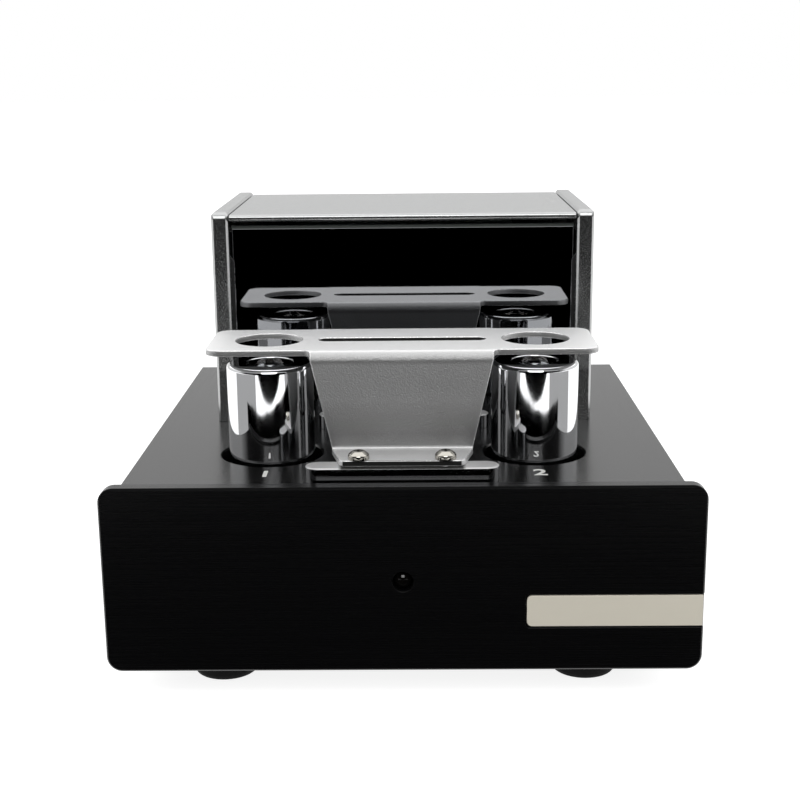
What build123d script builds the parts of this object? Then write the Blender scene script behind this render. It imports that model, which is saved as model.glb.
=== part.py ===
"""Compact tube phono preamp: a low black chassis with a thick front panel, two shielded
tubes under a bent sheet guard, and a transformer cover with a dark window behind them.

Frame: +X to the right seen from the front, +Y to the rear, +Z up, millimetres.
The origin is on the floor, at the middle of the overall width and depth.
"""
from build123d import *
from math import cos, hypot, pi, sin, tan, radians
import os

# ---- front panel -------------------------------------------------------------------
panel_width = 155.0
panel_height = 50.0
panel_thickness = 4.0
panel_corner_radius = 4.0
panel_edge_chamfer = 0.5
panel_floor_gap = 8.0            # panel's lower edge above the floor
led_height = 24.6                # above the panel's lower edge
led_diameter = 5.0
led_clearance = 0.25             # radial, in the panel's hole
led_setback = 0.6                # dome's tip behind the panel's face
led_length = 8.0
led_flange_step = 0.4            # flange beyond the dome's radius
led_flange_thickness = 1.0
led_holder_wall = 2.4            # holder beyond the dome's radius
led_holder_lip = 1.0             # holder behind the flange
nameplate_length = 45.3
nameplate_height = 8.4
nameplate_thickness = 1.0
nameplate_rise = 12.2            # above the panel's lower edge
nameplate_groove = 0.4
nameplate_end_gap = 0.3          # to the panel's right end
nameplate_corner_radius = 1.0

# ---- chassis -----------------------------------------------------------------------
panel_overhang = 5.0             # panel beyond each side of the chassis
chassis_depth = 148.0            # panel's face to the rear panel's outer face
deck_thickness = 3.0
deck_step = 0.8                  # deck below the panel's upper edge
tray_floor_step = 1.0            # tray's underside above the panel's lower edge
sheet = 1.2
sheet_bend = 0.8                 # inside radius
tray_flange = 9.0
tray_flange_rise = 3.0           # rear flanges above the tray's underside
rear_panel_thickness = 1.5
vent_count = 7
vent_length = 34.0
vent_width = 3.0
vent_pitch = 10.0
wire_hole_diameter = 8.0         # in the deck, under the cover
wire_hole_x = 20.0
wire_hole_inset = 7.0            # in front of the cover's rear

# ---- feet --------------------------------------------------------------------------
foot_diameter = 17.6
foot_taper = 1.2                 # smaller radius at the floor
foot_inset_x = 23.5              # from the chassis sides
foot_inset_y = 20.0              # from the chassis ends
foot_recess_diameter = 7.4
foot_recess_depth = 4.5
foot_edge = 0.6                  # chamfer at the tray
foot_lower_edge = 1.2            # chamfer at the floor

# ---- fasteners ---------------------------------------------------------------------
m3_diameter = 3.0
m3_head_diameter = 5.6
m3_head_height = 2.2
m3_nut_flats = 5.5
m3_nut_height = 2.4
m3_through = 0.2                 # radial clearance of a through hole
thread_gap = 0.05                # radial gap drawn in a tapped hole
seat_gap = 0.05                  # between pieces that seat in one another
screw_tip_gap = 0.4              # in a blind hole
deck_skin = 0.8                  # left above the deck's blind holes
front_screw_bite = 2.6           # blind hole in the front panel
rear_screw_proud = 1.5           # screw's tip beyond what it holds
guard_screw_proud = 1.0
inlet_screw_proud = 1.0
cover_screw_bite = 7.0
board_screw_bite = 4.0
front_screw_inset_x = 12.0       # from the chassis sides
front_screw_inset_z = 9.0        # from the tray's underside and the deck
deck_screw_inset = 4.0           # inside the tray's walls
deck_screw_front = 14.0          # behind the panel's face
deck_screw_rear = 12.0           # in front of the rear panel's face
rear_screw_inset_z = 8.0
cover_screw_inset = 12.0         # from a side plate's ends

# ---- tubes, shields and sockets ------------------------------------------------------
tube_spacing = 72.4
tube_row_y = 35.75               # behind the panel's face
board_top = 16.0                 # above the panel's lower edge
socket_flange_overhang = 1.15    # beyond the can, all round
socket_flange_height = 2.0
socket_gap = 0.55                # inside the can
socket_height = 8.0
socket_bore = 4.0
socket_bore_floor = 2.0
pin_hole_gap = 0.15              # round a pin in the socket
tube_glass_diameter = 20.8
tube_glass_wall = 1.0
tube_seated_height = 48.5
tube_seat_gap = 0.2              # glass above the socket
tube_base_thickness = 2.0
tube_shoulder_drop = 9.5         # dome's start below the tip
tube_tip_radius = 1.8
mica_low = 9.0                   # above the socket
mica_high = 32.0
mica_thickness = 0.5
mica_gap = 0.3                   # inside the glass
anode_width = 6.4
anode_depth = 9.0
anode_sheet = 0.5
anode_spacing = 8.4
rod_diameter = 0.8
getter_diameter = 7.6
getter_wire = 0.7
getter_rise = 4.0                # above the upper mica
pin_circle_diameter = 11.9
pin_diameter = 1.0
pin_length = 6.5
shield_gap = 0.95                # round the glass
shield_wall = 0.5
shield_top = 75.0                # above the panel's lower edge
shield_edge_radius = 1.2
shield_mouth_diameter = 12.8
shield_lip_depth = 1.6
shield_bead_height = 6.0         # bead's middle above the can's lower end
shield_bead = 0.4                # bead beyond the can's wall
shield_bead_half = 0.6
shield_notch_width = 2.4
shield_notch_depth = 4.0
deck_hole_gap = 2.0              # round the can
deck_hole_chamfer = 0.5

# ---- guard over the tubes ------------------------------------------------------------
guard_length = 104.0
guard_depth = 29.3
guard_top = 81.1                 # above the panel's lower edge
guard_sheet = 1.6
guard_bend = 1.0                 # inside radius at the plate
guard_foot_bend = 0.5            # inside radius at a foot
guard_corner_radius = 4.0
guard_hole_diameter = 18.1
guard_slot_length = 45.4
guard_slot_width = 5.0
web_top_width = 48.0
web_bottom_width = 37.2
web_step = 2.75                  # web's face beyond the plate's edge at its ends
web_root_radius = 1.9
guard_foot_length = 11.75        # beyond the web's face
guard_foot_end_width = 32.0
guard_foot_radius = 2.0
guard_screw_spacing = 22.4
spacer_length = 50.0
spacer_width = 6.6
spacer_height = 4.3
spacer_proud = 1.4               # bar beyond the foot's end

# ---- transformer cover ---------------------------------------------------------------
cover_front_y = 70.4             # behind the panel's face
cover_depth = 68.0
cover_width = 112.0
cover_top_z = 112.0              # above the panel's lower edge
cover_side_thickness = 5.0
cover_side_radius = 2.0
cover_side_bevel = 0.7
cover_sheet = 2.0
cover_sheet_step = 0.7           # sheet below the side plates' upper edges
cover_sheet_gap = 0.35           # to each side plate
cover_sheet_bend = 1.0
cover_flange = 9.0               # folded sheet's foot
window_thickness = 3.0
window_setback = 3.0
window_side_gap = 0.6
window_top_gap = 1.6             # below the sheet
window_bevel = 0.3
window_top_bevel = 0.8
window_strip_top = 99.1          # strips beside the window, above the panel's lower edge
window_strip_reach = 1.2
window_strip_thickness = 0.8
window_strip_cut = 1.7           # height of the cut-off upper corner
bracket_leg = 8.0
bracket_sheet = 1.2
bracket_bend = 0.6
bracket_top_gap = 2.0            # below the window's upper edge
rail_front_gap = 4.0             # behind the window's brackets
rail_rear_gap = 3.0              # in front of the cover's rear wall
rear_vent_count = 11
rear_vent_height = 34.0
rear_vent_width = 2.4
rear_vent_pitch = 6.0

# ---- transformer ---------------------------------------------------------------------
core_width = 66.0
core_height = 55.0
core_stack = 30.0
core_leg = 22.0
core_yoke = 11.0
core_rise = 0.6                  # above the deck
winding_overhang = 8.5
winding_slack = 0.4
bobbin_wall = 1.0
strap_width = 20.0
strap_foot = 9.0
strap_sheet = 1.2
strap_bend = 0.1                 # inside radius at the square core

# ---- main board ----------------------------------------------------------------------
board_side_gap = 7.3             # to the tray's side walls
board_depth = 98.0
board_thickness = 1.6
board_front_gap = 3.0            # behind the tray's front wall
board_screw_inset = 5.0
standoff_flats = 6.0
filter_can_diameter = 16.0
filter_can_height = 24.0
filter_can_pitch = 20.0
filter_can_inset = 14.0          # in front of the board's rear edge
filter_can_groove = 0.5
film_length = 18.0
film_width = 8.0
film_height = 13.0
film_pitch = 22.0
film_row_gap = 29.0              # behind the tubes
resistor_diameter = 2.5
resistor_length = 6.5
resistor_pitch = 11.0
resistor_row_gap = 8.0           # in front of and behind the tubes' row
resistor_shift = 2.0             # of the front row
sink_inset = 12.0                # heatsink's middle from the board's right edge
sink_row_gap = 46.0              # behind the tubes
sink_width = 18.0
sink_height = 20.0
sink_plate = 2.0
sink_fin_count = 5
sink_fin_pitch = 4.1
sink_fin = 1.2
sink_fin_length = 8.0
regulator_width = 10.0
regulator_height = 10.0
regulator_thickness = 4.5
regulator_rise = 6.0             # above the board, on its legs
regulator_leg = 0.8

# ---- rear fittings -------------------------------------------------------------------
rear_row_z = 24.0                # above the panel's lower edge
inlet_x = -38.0
inlet_flange_width = 50.0
inlet_flange_height = 31.0
inlet_flange_thickness = 2.4
inlet_body_width = 30.4
inlet_body_height = 28.4
inlet_body_depth = 24.0
inlet_screw_spacing = 40.0
inlet_flange_radius = 3.0
inlet_cutout_gap = 0.3
cavity_width = 24.6
cavity_height = 16.6
cavity_depth = 18.0
cavity_chamfer = 4.0
cavity_drop = 4.4                # cavity's middle below the inlet's middle
blade_width = 2.0
blade_height = 4.0
blade_spacing = 14.0
blade_offset = 2.0               # live blades below, earth blade above the middle
blade_recess = 1.5
blade_tail = 7.0
drawer_slot_width = 24.0
drawer_slot_height = 7.0
drawer_slot_depth = 20.0
drawer_rise = 9.1                # slot's middle above the inlet's middle
drawer_gap = 0.2
drawer_length = 18.0
drawer_wall = 1.2
fuse_diameter = 5.0
fuse_length = 20.0
fuse_cap_length = 5.0
switch_x = 1.0
switch_flange_width = 15.0
switch_flange_height = 21.0
switch_flange_thickness = 2.0
switch_body_width = 12.8
switch_body_height = 18.8
switch_body_depth = 16.0
switch_cutout_gap = 0.1
terminal_width = 4.8
terminal_thickness = 0.8
terminal_length = 8.0
terminal_pitch = 5.5
rocker_width = 9.6
rocker_height = 14.6
rocker_depth = 7.0
rocker_tilt = 9.0                # either side of the middle
rocker_gap = 0.6
rocker_pivot_depth = 1.6         # pivot inside the flange's face
rocker_crown = 2.6               # rocker's face beyond the pivot
jack_pitch_x = 19.0
jack_pitch_z = 17.0
jack_first_x = 19.0
jack_diameter = 8.3
jack_length = 9.0
jack_collar_diameter = 11.5
jack_collar_length = 1.8
jack_neck_diameter = 7.6
jack_inside_length = 8.0
jack_wall = 0.8
jack_contact_diameter = 4.4
jack_bore_diameter = 3.3
jack_contact_tail = 5.0
jack_insulator_proud = 1.5       # behind the shell
jack_insulator_setback = 0.6     # inside the shell's mouth
jack_contact_setback = 0.9
neck_gap = 0.2                   # round a neck or stud in the rear panel
jack_nut_flats = 10.0
jack_nut_height = 2.2
post_x = 57.0
post_diameter = 4.0
post_collar_diameter = 9.0
post_collar_length = 2.0
post_washer_diameter = 8.6
post_washer_length = 1.0
post_gap = 0.1
post_running_gap = 0.08
post_stud_reach = 11.0
post_inside_length = 8.0
post_nut_flats = 7.0
post_nut_height = 2.4
knob_diameter = 9.6
knob_length = 10.0
knob_cap = 1.5
knob_flute_count = 12
knob_flute_radius = 0.6

# ---- sizes worked out from the sizes above -------------------------------------------
led_hole_diameter = led_diameter + 2 * led_clearance
chassis_width = panel_width - 2 * panel_overhang
board_length = chassis_width - 2 * (sheet + board_side_gap)
web_face_offset = guard_depth / 2 + web_step
shield_diameter = tube_glass_diameter + 2 * (shield_gap + shield_wall)
socket_diameter = shield_diameter - 2 * (shield_wall + socket_gap)
socket_flange_diameter = shield_diameter + 2 * socket_flange_overhang
deck_hole_diameter = shield_diameter + 2 * deck_hole_gap

# ---- places worked out from the sizes above ------------------------------------------
post_reach = post_collar_length + post_washer_length + 2 * post_gap + knob_length
overall_depth = chassis_depth + post_reach
front_y = -overall_depth / 2
rear_y = front_y + chassis_depth
panel_back_y = front_y + panel_thickness
panel_z = panel_floor_gap
tray_z = panel_z + tray_floor_step
deck_top_z = panel_z + panel_height - deck_step
deck_z = deck_top_z - deck_thickness
rear_inner_y = rear_y - rear_panel_thickness
row_y = front_y + tube_row_y
tube_x = tube_spacing / 2
board_z = panel_z + board_top
socket_top_z = board_z + socket_height
shield_z = board_z + socket_flange_height
foot_points = [
    (side * (chassis_width / 2 - foot_inset_x), y)
    for y in (front_y + foot_inset_y, rear_y - foot_inset_y)
    for side in (-1, 1)
]
guard_z = panel_z + guard_top
foot_top_z = deck_top_z + spacer_height + guard_sheet
foot_reach = web_face_offset + guard_foot_length
spacer_offset = foot_reach - spacer_width / 2 + spacer_proud
cover_y = front_y + cover_front_y
cover_rear_y = cover_y + cover_depth
cover_z = panel_z + cover_top_z
cover_inner = cover_width / 2 - cover_side_thickness
cover_sheet_z = cover_z - cover_sheet_step
window_y = cover_y + window_setback
window_top_z = cover_sheet_z - cover_sheet - window_top_gap
window_strip_z = panel_z + window_strip_top
core_y = cover_y + cover_depth / 2 + 1.5
core_z = deck_top_z + core_rise
rear_mid_z = panel_z + rear_row_z
board_front_y = panel_back_y + sheet + board_front_gap
jack_points = [
    (jack_first_x + column * jack_pitch_x, rear_mid_z + row * jack_pitch_z / 2)
    for column in (0, 1)
    for row in (-1, 1)
]


# ---- small helpers -------------------------------------------------------------------
def block(x0, x1, y0, y1, z0, z1):
    """A box between two opposite corners."""
    return Pos((x0 + x1) / 2, (y0 + y1) / 2, (z0 + z1) / 2) * Box(x1 - x0, y1 - y0, z1 - z0)


def upright(diameter, x, y, z0, z1):
    """A round bar along Z."""
    return Pos(x, y, (z0 + z1) / 2) * Cylinder(diameter / 2, z1 - z0)


def lengthwise(diameter, x, z, y0, y1):
    """A round bar along Y."""
    return Pos(x, (y0 + y1) / 2, z) * Rot(90, 0, 0) * Cylinder(diameter / 2, y1 - y0)


def group(solids):
    """Separate solids that share one node."""
    return Compound(children=list(solids))


def turned(points, x, y, z):
    """A solid of revolution about Z from (radius, height) points."""
    profile = make_face(Plane.XZ * Polyline(*points, close=True))
    return Pos(x, y, z) * revolve(profile, Axis.Z)


def turned_along_y(points, x, y, z):
    """A solid of revolution about Y from (radius, distance towards the rear) points."""
    profile = make_face(Plane.XY * Polyline(*points, close=True))
    return Pos(x, y, z) * revolve(profile, Axis.Y)


def bent_outline(path, thickness, inside_radii):
    """The outline of a bent sheet whose middle follows the corners of a path."""
    steps = [(b[0] - a[0], b[1] - a[1]) for a, b in zip(path, path[1:])]
    normals = [(-dy / hypot(dx, dy), dx / hypot(dx, dy)) for dx, dy in steps]
    corners = [normals[0]]
    left_radii, right_radii = [], []
    for (ax, ay), (bx, by), inside in zip(normals, normals[1:], inside_radii):
        share = 1 / (1 + ax * bx + ay * by)
        corners.append(((ax + bx) * share, (ay + by) * share))
        turns_left = ax * by - ay * bx > 0
        left_radii.append(inside + (0 if turns_left else thickness))
        right_radii.append(inside + (thickness if turns_left else 0))
    corners.append(normals[-1])
    half = thickness / 2
    left = [(p[0] + n[0] * half, p[1] + n[1] * half) for p, n in zip(path, corners)]
    right = [(p[0] - n[0] * half, p[1] - n[1] * half) for p, n in zip(path, corners)]
    edges = FilletPolyline(*left, radius=left_radii) + FilletPolyline(*right, radius=right_radii)
    return make_face(edges + Line(left[0], right[0]) + Line(left[-1], right[-1]))


def across(outline, x0, x1):
    """Extrudes a (y, z) outline along X."""
    return Pos(x0, 0, 0) * extrude(Plane.YZ * outline, x1 - x0)


def along(outline, y0, y1):
    """Extrudes an (x, z) outline along Y."""
    return Pos(0, y1, 0) * extrude(Plane.XZ * outline, y1 - y0)


def hexagon(flats, x, y, z0, z1):
    """A hexagonal prism along Z."""
    prism = extrude(RegularPolygon(flats / 2, 6, major_radius=False), z1 - z0)
    return Pos(x, y, z0) * prism


def pan_screw(length):
    """A pan-head screw without its drive, head up, its seat at the origin."""
    r, h = m3_head_diameter / 2, m3_head_height
    shank = m3_diameter / 2
    points = [
        (0, h), (r * 0.6, h), (r, h * 0.45), (r, 0), (shank, 0), (shank, -length), (0, -length)
    ]
    return turned(points, 0, 0, 0)


# ---- front panel, nameplate and lamp -------------------------------------------------
def front_panel():
    outline = Pos(0, panel_z + panel_height / 2) * RectangleRounded(
        panel_width, panel_height, panel_corner_radius
    )
    panel = along(outline, front_y, panel_back_y)
    panel = chamfer(panel.faces().sort_by(Axis.Y)[0].edges(), panel_edge_chamfer)
    panel -= lengthwise(led_hole_diameter, 0, panel_z + led_height, front_y - 1, panel_back_y + 1)
    right = panel_width / 2 + 1
    left = panel_width / 2 - nameplate_end_gap - nameplate_length - nameplate_groove
    low = panel_z + nameplate_rise - nameplate_groove
    high = low + nameplate_height + 2 * nameplate_groove
    recess = block(left, right, front_y - 1, front_y + nameplate_thickness, low, high)
    corner = recess.edges().filter_by(Axis.Y).sort_by(Axis.X)[:2]
    panel -= fillet(corner, nameplate_corner_radius)
    for x, z in front_screw_points():
        hole = m3_diameter + 2 * thread_gap
        panel -= lengthwise(hole, x, z, panel_back_y - front_screw_bite, panel_back_y + 1)
    return panel


def front_screw_points():
    x = chassis_width / 2 - front_screw_inset_x
    low = tray_z + front_screw_inset_z
    high = deck_z - front_screw_inset_z
    return [(-x, low), (x, low), (-x, high), (x, high)]


def nameplate():
    right = panel_width / 2 - nameplate_end_gap
    low = panel_z + nameplate_rise
    plate = block(
        right - nameplate_length, right, front_y, front_y + nameplate_thickness,
        low, low + nameplate_height,
    )
    corner = plate.edges().filter_by(Axis.Y).sort_by(Axis.X)[:2]
    plate = fillet(corner, nameplate_corner_radius - nameplate_groove)
    return chamfer(plate.faces().sort_by(Axis.Y)[0].edges(), 0.2)


def power_led():
    r = led_diameter / 2
    flange = r + led_flange_step
    end = led_setback + led_length
    seat = end - led_flange_thickness
    dome_centre = led_setback + r
    line = Line((0, led_setback), (0, end)) + Polyline(
        (0, end), (flange, end), (flange, seat), (r, seat), (r, dome_centre)
    )
    dome = CenterArc((0, dome_centre), r, -90, 90)
    return Pos(0, front_y, panel_z + led_height) * revolve(make_face(line + dome), Axis.Y)


def led_holder():
    wall = panel_thickness + sheet
    r = led_diameter / 2
    inner, flange, outer = r + seat_gap, r + led_flange_step + seat_gap, r + led_holder_wall
    end = led_setback + led_length + led_holder_lip
    seat = end - led_holder_lip - led_flange_thickness - 2 * seat_gap
    points = [
        (inner, wall), (outer, wall), (outer, end), (flange, end), (flange, seat), (inner, seat)
    ]
    return turned_along_y(points, 0, front_y, panel_z + led_height)


# ---- chassis -------------------------------------------------------------------------
def chassis_tray():
    half = chassis_width / 2
    outer = block(-half, half, panel_back_y, rear_inner_y, tray_z, deck_z)
    inner = block(
        -half + sheet, half - sheet, panel_back_y + sheet, rear_inner_y + 1,
        tray_z + sheet, deck_z + 1,
    )
    bends = outer.edges().filter_by(Axis.Y).group_by(Axis.Z)[0]
    outer = fillet(bends, sheet_bend + sheet)
    inner = fillet(inner.edges().filter_by(Axis.Y).group_by(Axis.Z)[0], sheet_bend)
    tray = outer - inner
    for side in (-1, 1):
        edge = side * (half - sheet / 2)
        inside = side * (half - tray_flange)
        x0, x1 = sorted((edge, inside))
        tray += block(x0, x1, panel_back_y + sheet / 2, rear_inner_y, deck_z - sheet, deck_z)
        tray += block(
            x0, x1, rear_inner_y - sheet, rear_inner_y, tray_z + tray_flange_rise, deck_z - sheet / 2
        )
    for x, y in deck_screw_points():
        tray -= upright(m3_diameter + 2 * m3_through, x, y, deck_z - 3, deck_z + 1)
    for x, z in rear_screw_points():
        tray -= lengthwise(m3_diameter + 2 * thread_gap, x, z, rear_inner_y - 4, rear_inner_y + 1)
    for x, z in front_screw_points():
        tray -= lengthwise(m3_diameter + 2 * m3_through, x, z, panel_back_y - 1, panel_back_y + 3)
    for x, y in foot_points:
        tray -= upright(m3_diameter + 2 * m3_through, x, y, tray_z - 1, tray_z + 3)
    led_z = panel_z + led_height
    tray -= lengthwise(led_hole_diameter, 0, led_z, panel_back_y - 1, panel_back_y + 3)
    slot = extrude(SlotOverall(vent_length, vent_width, rotation=90), 2 * sheet + 2)
    first = -(vent_count - 1) / 2 * vent_pitch
    for i in range(vent_count):
        tray -= Pos(first + i * vent_pitch, row_y, tray_z - 1) * slot
    return tray


def deck_screw_points():
    x = chassis_width / 2 - sheet - deck_screw_inset
    ys = [front_y + deck_screw_front, rear_y - deck_screw_rear]
    return [(side * x, y) for y in ys for side in (-1, 1)]


def rear_screw_points():
    x = chassis_width / 2 - sheet - deck_screw_inset
    zs = (tray_z + rear_screw_inset_z, deck_z - rear_screw_inset_z)
    return [(side * x, z) for z in zs for side in (-1, 1)]


def guard_screw_points():
    return [
        (sx * guard_screw_spacing / 2, row_y + sy * spacer_offset)
        for sy in (-1, 1)
        for sx in (-1, 1)
    ]


def cover_screw_points():
    x = cover_width / 2 - cover_side_thickness / 2
    ys = (cover_y + cover_screw_inset, cover_rear_y - cover_screw_inset)
    return [(side * x, y) for y in ys for side in (-1, 1)]


def strap_screw_points():
    x = core_width / 2 + strap_sheet + strap_foot / 2
    return [(side * x, core_y) for side in (-1, 1)]


def deck_plate():
    half = chassis_width / 2
    deck = block(-half, half, panel_back_y, rear_y, deck_z, deck_top_z)
    for side in (-1, 1):
        deck -= upright(deck_hole_diameter, side * tube_x, row_y, deck_z - 1, deck_top_z + 1)
    rims = [
        e for e in deck.edges().filter_by(GeomType.CIRCLE)
        if abs(e.center().Z - deck_top_z) < 0.01
    ]
    deck = chamfer(rims, deck_hole_chamfer)
    tapped = m3_diameter + 2 * thread_gap
    for x, y in guard_screw_points() + deck_screw_points() + strap_screw_points():
        top = deck_top_z + 1 if (x, y) not in deck_screw_points() else deck_top_z - deck_skin
        deck -= upright(tapped, x, y, deck_z - 1, top)
    for x, y in cover_screw_points():
        deck -= upright(m3_diameter + 2 * m3_through, x, y, deck_z - 1, deck_top_z + 1)
    for side in (-1, 1):
        x, y = side * wire_hole_x, cover_rear_y - wire_hole_inset
        deck -= upright(wire_hole_diameter, x, y, deck_z - 1, deck_top_z + 1)
    return deck


def rear_panel():
    half = chassis_width / 2
    panel = block(-half, half, rear_inner_y, rear_y, tray_z, deck_z)
    y0, y1 = rear_inner_y - 1, rear_y + 1
    w, h = inlet_body_width / 2 + inlet_cutout_gap, inlet_body_height / 2 + inlet_cutout_gap
    panel -= block(inlet_x - w, inlet_x + w, y0, y1, rear_mid_z - h, rear_mid_z + h)
    w, h = switch_body_width / 2 + switch_cutout_gap, switch_body_height / 2 + switch_cutout_gap
    panel -= block(switch_x - w, switch_x + w, y0, y1, rear_mid_z - h, rear_mid_z + h)
    for x, z in jack_points:
        panel -= lengthwise(jack_neck_diameter + 2 * neck_gap, x, z, y0, y1)
    panel -= lengthwise(post_diameter + 2 * neck_gap, post_x, rear_mid_z, y0, y1)
    for side in (-1, 1):
        x = inlet_x + side * inlet_screw_spacing / 2
        panel -= lengthwise(m3_diameter + 2 * m3_through, x, rear_mid_z, y0, y1)
    for x, z in rear_screw_points():
        panel -= lengthwise(m3_diameter + 2 * m3_through, x, z, y0, y1)
    return panel


def rubber_feet():
    r = foot_diameter / 2
    h = tray_z
    low = r - foot_taper
    recess = foot_recess_diameter / 2
    hole = m3_diameter / 2 + m3_through
    points = [
        (hole, h), (r - foot_edge, h), (r, h - foot_edge), (low + 0.35, foot_lower_edge),
        (low - 0.9, 0), (recess, 0), (recess, foot_recess_depth), (hole, foot_recess_depth),
    ]
    return group(turned(points, x, y, 0) for x, y in foot_points)


def foot_screws():
    length = tray_z - foot_recess_depth + sheet + m3_nut_height
    screw = Rot(180, 0, 0) * pan_screw(length)
    solids = []
    for x, y in foot_points:
        solids.append(Pos(x, y, foot_recess_depth) * screw)
        solids.append(nut(x, y, tray_z + sheet))
    return group(solids)


def nut(x, y, z):
    """An M3 hexagon nut standing on z."""
    body = hexagon(m3_nut_flats, x, y, z, z + m3_nut_height)
    return body - upright(m3_diameter + 2 * thread_gap, x, y, z - 1, z + m3_nut_height + 1)


def deck_screws():
    screw = Rot(180, 0, 0) * pan_screw(sheet + deck_thickness - deck_skin - screw_tip_gap)
    return group(Pos(x, y, deck_z - sheet) * screw for x, y in deck_screw_points())


def rear_panel_screws():
    screw = Rot(-90, 0, 0) * pan_screw(rear_panel_thickness + sheet + rear_screw_proud)
    return group(Pos(x, rear_y, z) * screw for x, z in rear_screw_points())


def front_panel_screws():
    screw = Rot(-90, 0, 0) * pan_screw(sheet + front_screw_bite - screw_tip_gap)
    return group(Pos(x, panel_back_y + sheet, z) * screw for x, z in front_screw_points())


# ---- tubes ---------------------------------------------------------------------------
def tube_socket(side):
    x = side * tube_x
    body = upright(socket_diameter, x, row_y, board_z, socket_top_z)
    body += upright(socket_flange_diameter, x, row_y, board_z, shield_z)
    body -= upright(socket_bore, x, row_y, board_z + socket_bore_floor, socket_top_z + 1)
    low = socket_top_z - pin_length - 0.5
    for px, py in pin_points(x):
        body -= hexagon(pin_diameter + 2 * pin_hole_gap, px, py, low, socket_top_z + 1)
    return body


def pin_points(x):
    """Nine pins on a ten-place circle, the gap facing the rear."""
    r = pin_circle_diameter / 2
    angles = [radians(90 + 36 * i) for i in range(1, 10)]
    return [(x + r * cos(a), row_y + r * sin(a)) for a in angles]


def tube_base(side):
    x = side * tube_x
    disc_r = tube_glass_diameter / 2 - tube_glass_wall - seat_gap
    z0 = socket_top_z + tube_seat_gap
    base = upright(2 * disc_r, x, row_y, z0, z0 + tube_base_thickness)
    for px, py in pin_points(x):
        base += hexagon(pin_diameter, px, py, socket_top_z - pin_length, z0 + 1)
    return base


def tube_glass(side):
    r = tube_glass_diameter / 2
    w = tube_glass_wall
    low, top = tube_seat_gap, tube_seated_height
    shoulder = top - tube_shoulder_drop
    tip = tube_tip_radius
    points = [
        (r, low), (r, shoulder), (r * 0.93, top - 6.6), (r * 0.7, top - 4.2), (tip, top - 2.6),
        (tip / 2, top), (0, top), (0, top - 4.6), (r * 0.6, top - 5.4), (r * 0.82, top - 7.2),
        (r - w, shoulder), (r - w, low),
    ]
    return turned(points, side * tube_x, row_y, socket_top_z)


def tube_elements(side):
    """Two anodes between mica discs, carried by rods from the base, and the getter ring."""
    x = side * tube_x
    low, high = socket_top_z + mica_low, socket_top_z + mica_high
    mica_r = tube_glass_diameter / 2 - tube_glass_wall - mica_gap
    solids = [upright(2 * mica_r, x, row_y, z, z + mica_thickness) for z in (low, high)]
    hollow = anode_width - 2 * anode_sheet, anode_depth - 2 * anode_sheet
    for turn in (-1, 1):
        middle = x + turn * anode_spacing / 2
        anode = extrude(Rectangle(anode_width, anode_depth) - Rectangle(*hollow), high - low - mica_thickness)
        solids.append(Pos(middle, row_y, low + mica_thickness) * anode)
    reach = (mica_r - 1.0) * cos(pi / 4)
    base_top = socket_top_z + tube_seat_gap + tube_base_thickness
    for turn in (-1, 1):
        solids.append(upright(rod_diameter, x + turn * reach, row_y - turn * reach, base_top, low))
    ring_z = high + getter_rise
    hole = getter_diameter - 2 * getter_wire
    ring = upright(getter_diameter, x, row_y, ring_z, ring_z + 0.6)
    ring -= upright(hole, x, row_y, high, ring_z + 1)
    stem_x = x + hole / 2 + 0.1
    stem = block(stem_x, stem_x + 0.5, row_y - 0.4, row_y + 0.4, high + mica_thickness, ring_z + 0.3)
    solids.append(ring + stem)
    return group(solids)


def tube_shield(side):
    """A drawn can, open below, with a rolled mouth and a bead round its lower end."""
    r = shield_diameter / 2
    w = shield_wall
    h = panel_z + shield_top - shield_z
    e = shield_edge_radius
    m = shield_mouth_diameter / 2
    outer = Line((r, 0), (r, h - e)) + CenterArc((r - e, h - e), e, 0, 90)
    roof = Line((r - e, h), (m + w, h)) + CenterArc((m + w, h - w), w, 90, 90)
    lip = Line((m, h - w), (m, h - shield_lip_depth))
    lip += Line((m, h - shield_lip_depth), (m + w, h - shield_lip_depth))
    under = Line((m + w, h - shield_lip_depth), (m + w, h - w)) + Line((m + w, h - w), (r - e, h - w))
    inner = CenterArc((r - e, h - e), e - w, 0, 90) + Line((r - w, h - e), (r - w, 0))
    foot = Line((r - w, 0), (r, 0))
    profile = make_face(Plane.XZ * (outer + roof + lip + under + inner + foot))
    can = revolve(profile, Axis.Z)
    low, high = shield_bead_height - shield_bead_half, shield_bead_height + shield_bead_half
    bead = [(r - w / 2, low), (r, low), (r + shield_bead, shield_bead_height), (r, high)]
    can += turned([*bead, (r - w / 2, high)], 0, 0, 0)
    half = shield_notch_width / 2
    for turn in (0, 180):
        can -= Rot(0, 0, turn + 45) * block(r - 3, r + 2, -half, half, -1, shield_notch_depth)
    return Pos(side * tube_x, row_y, shield_z) * can


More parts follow.
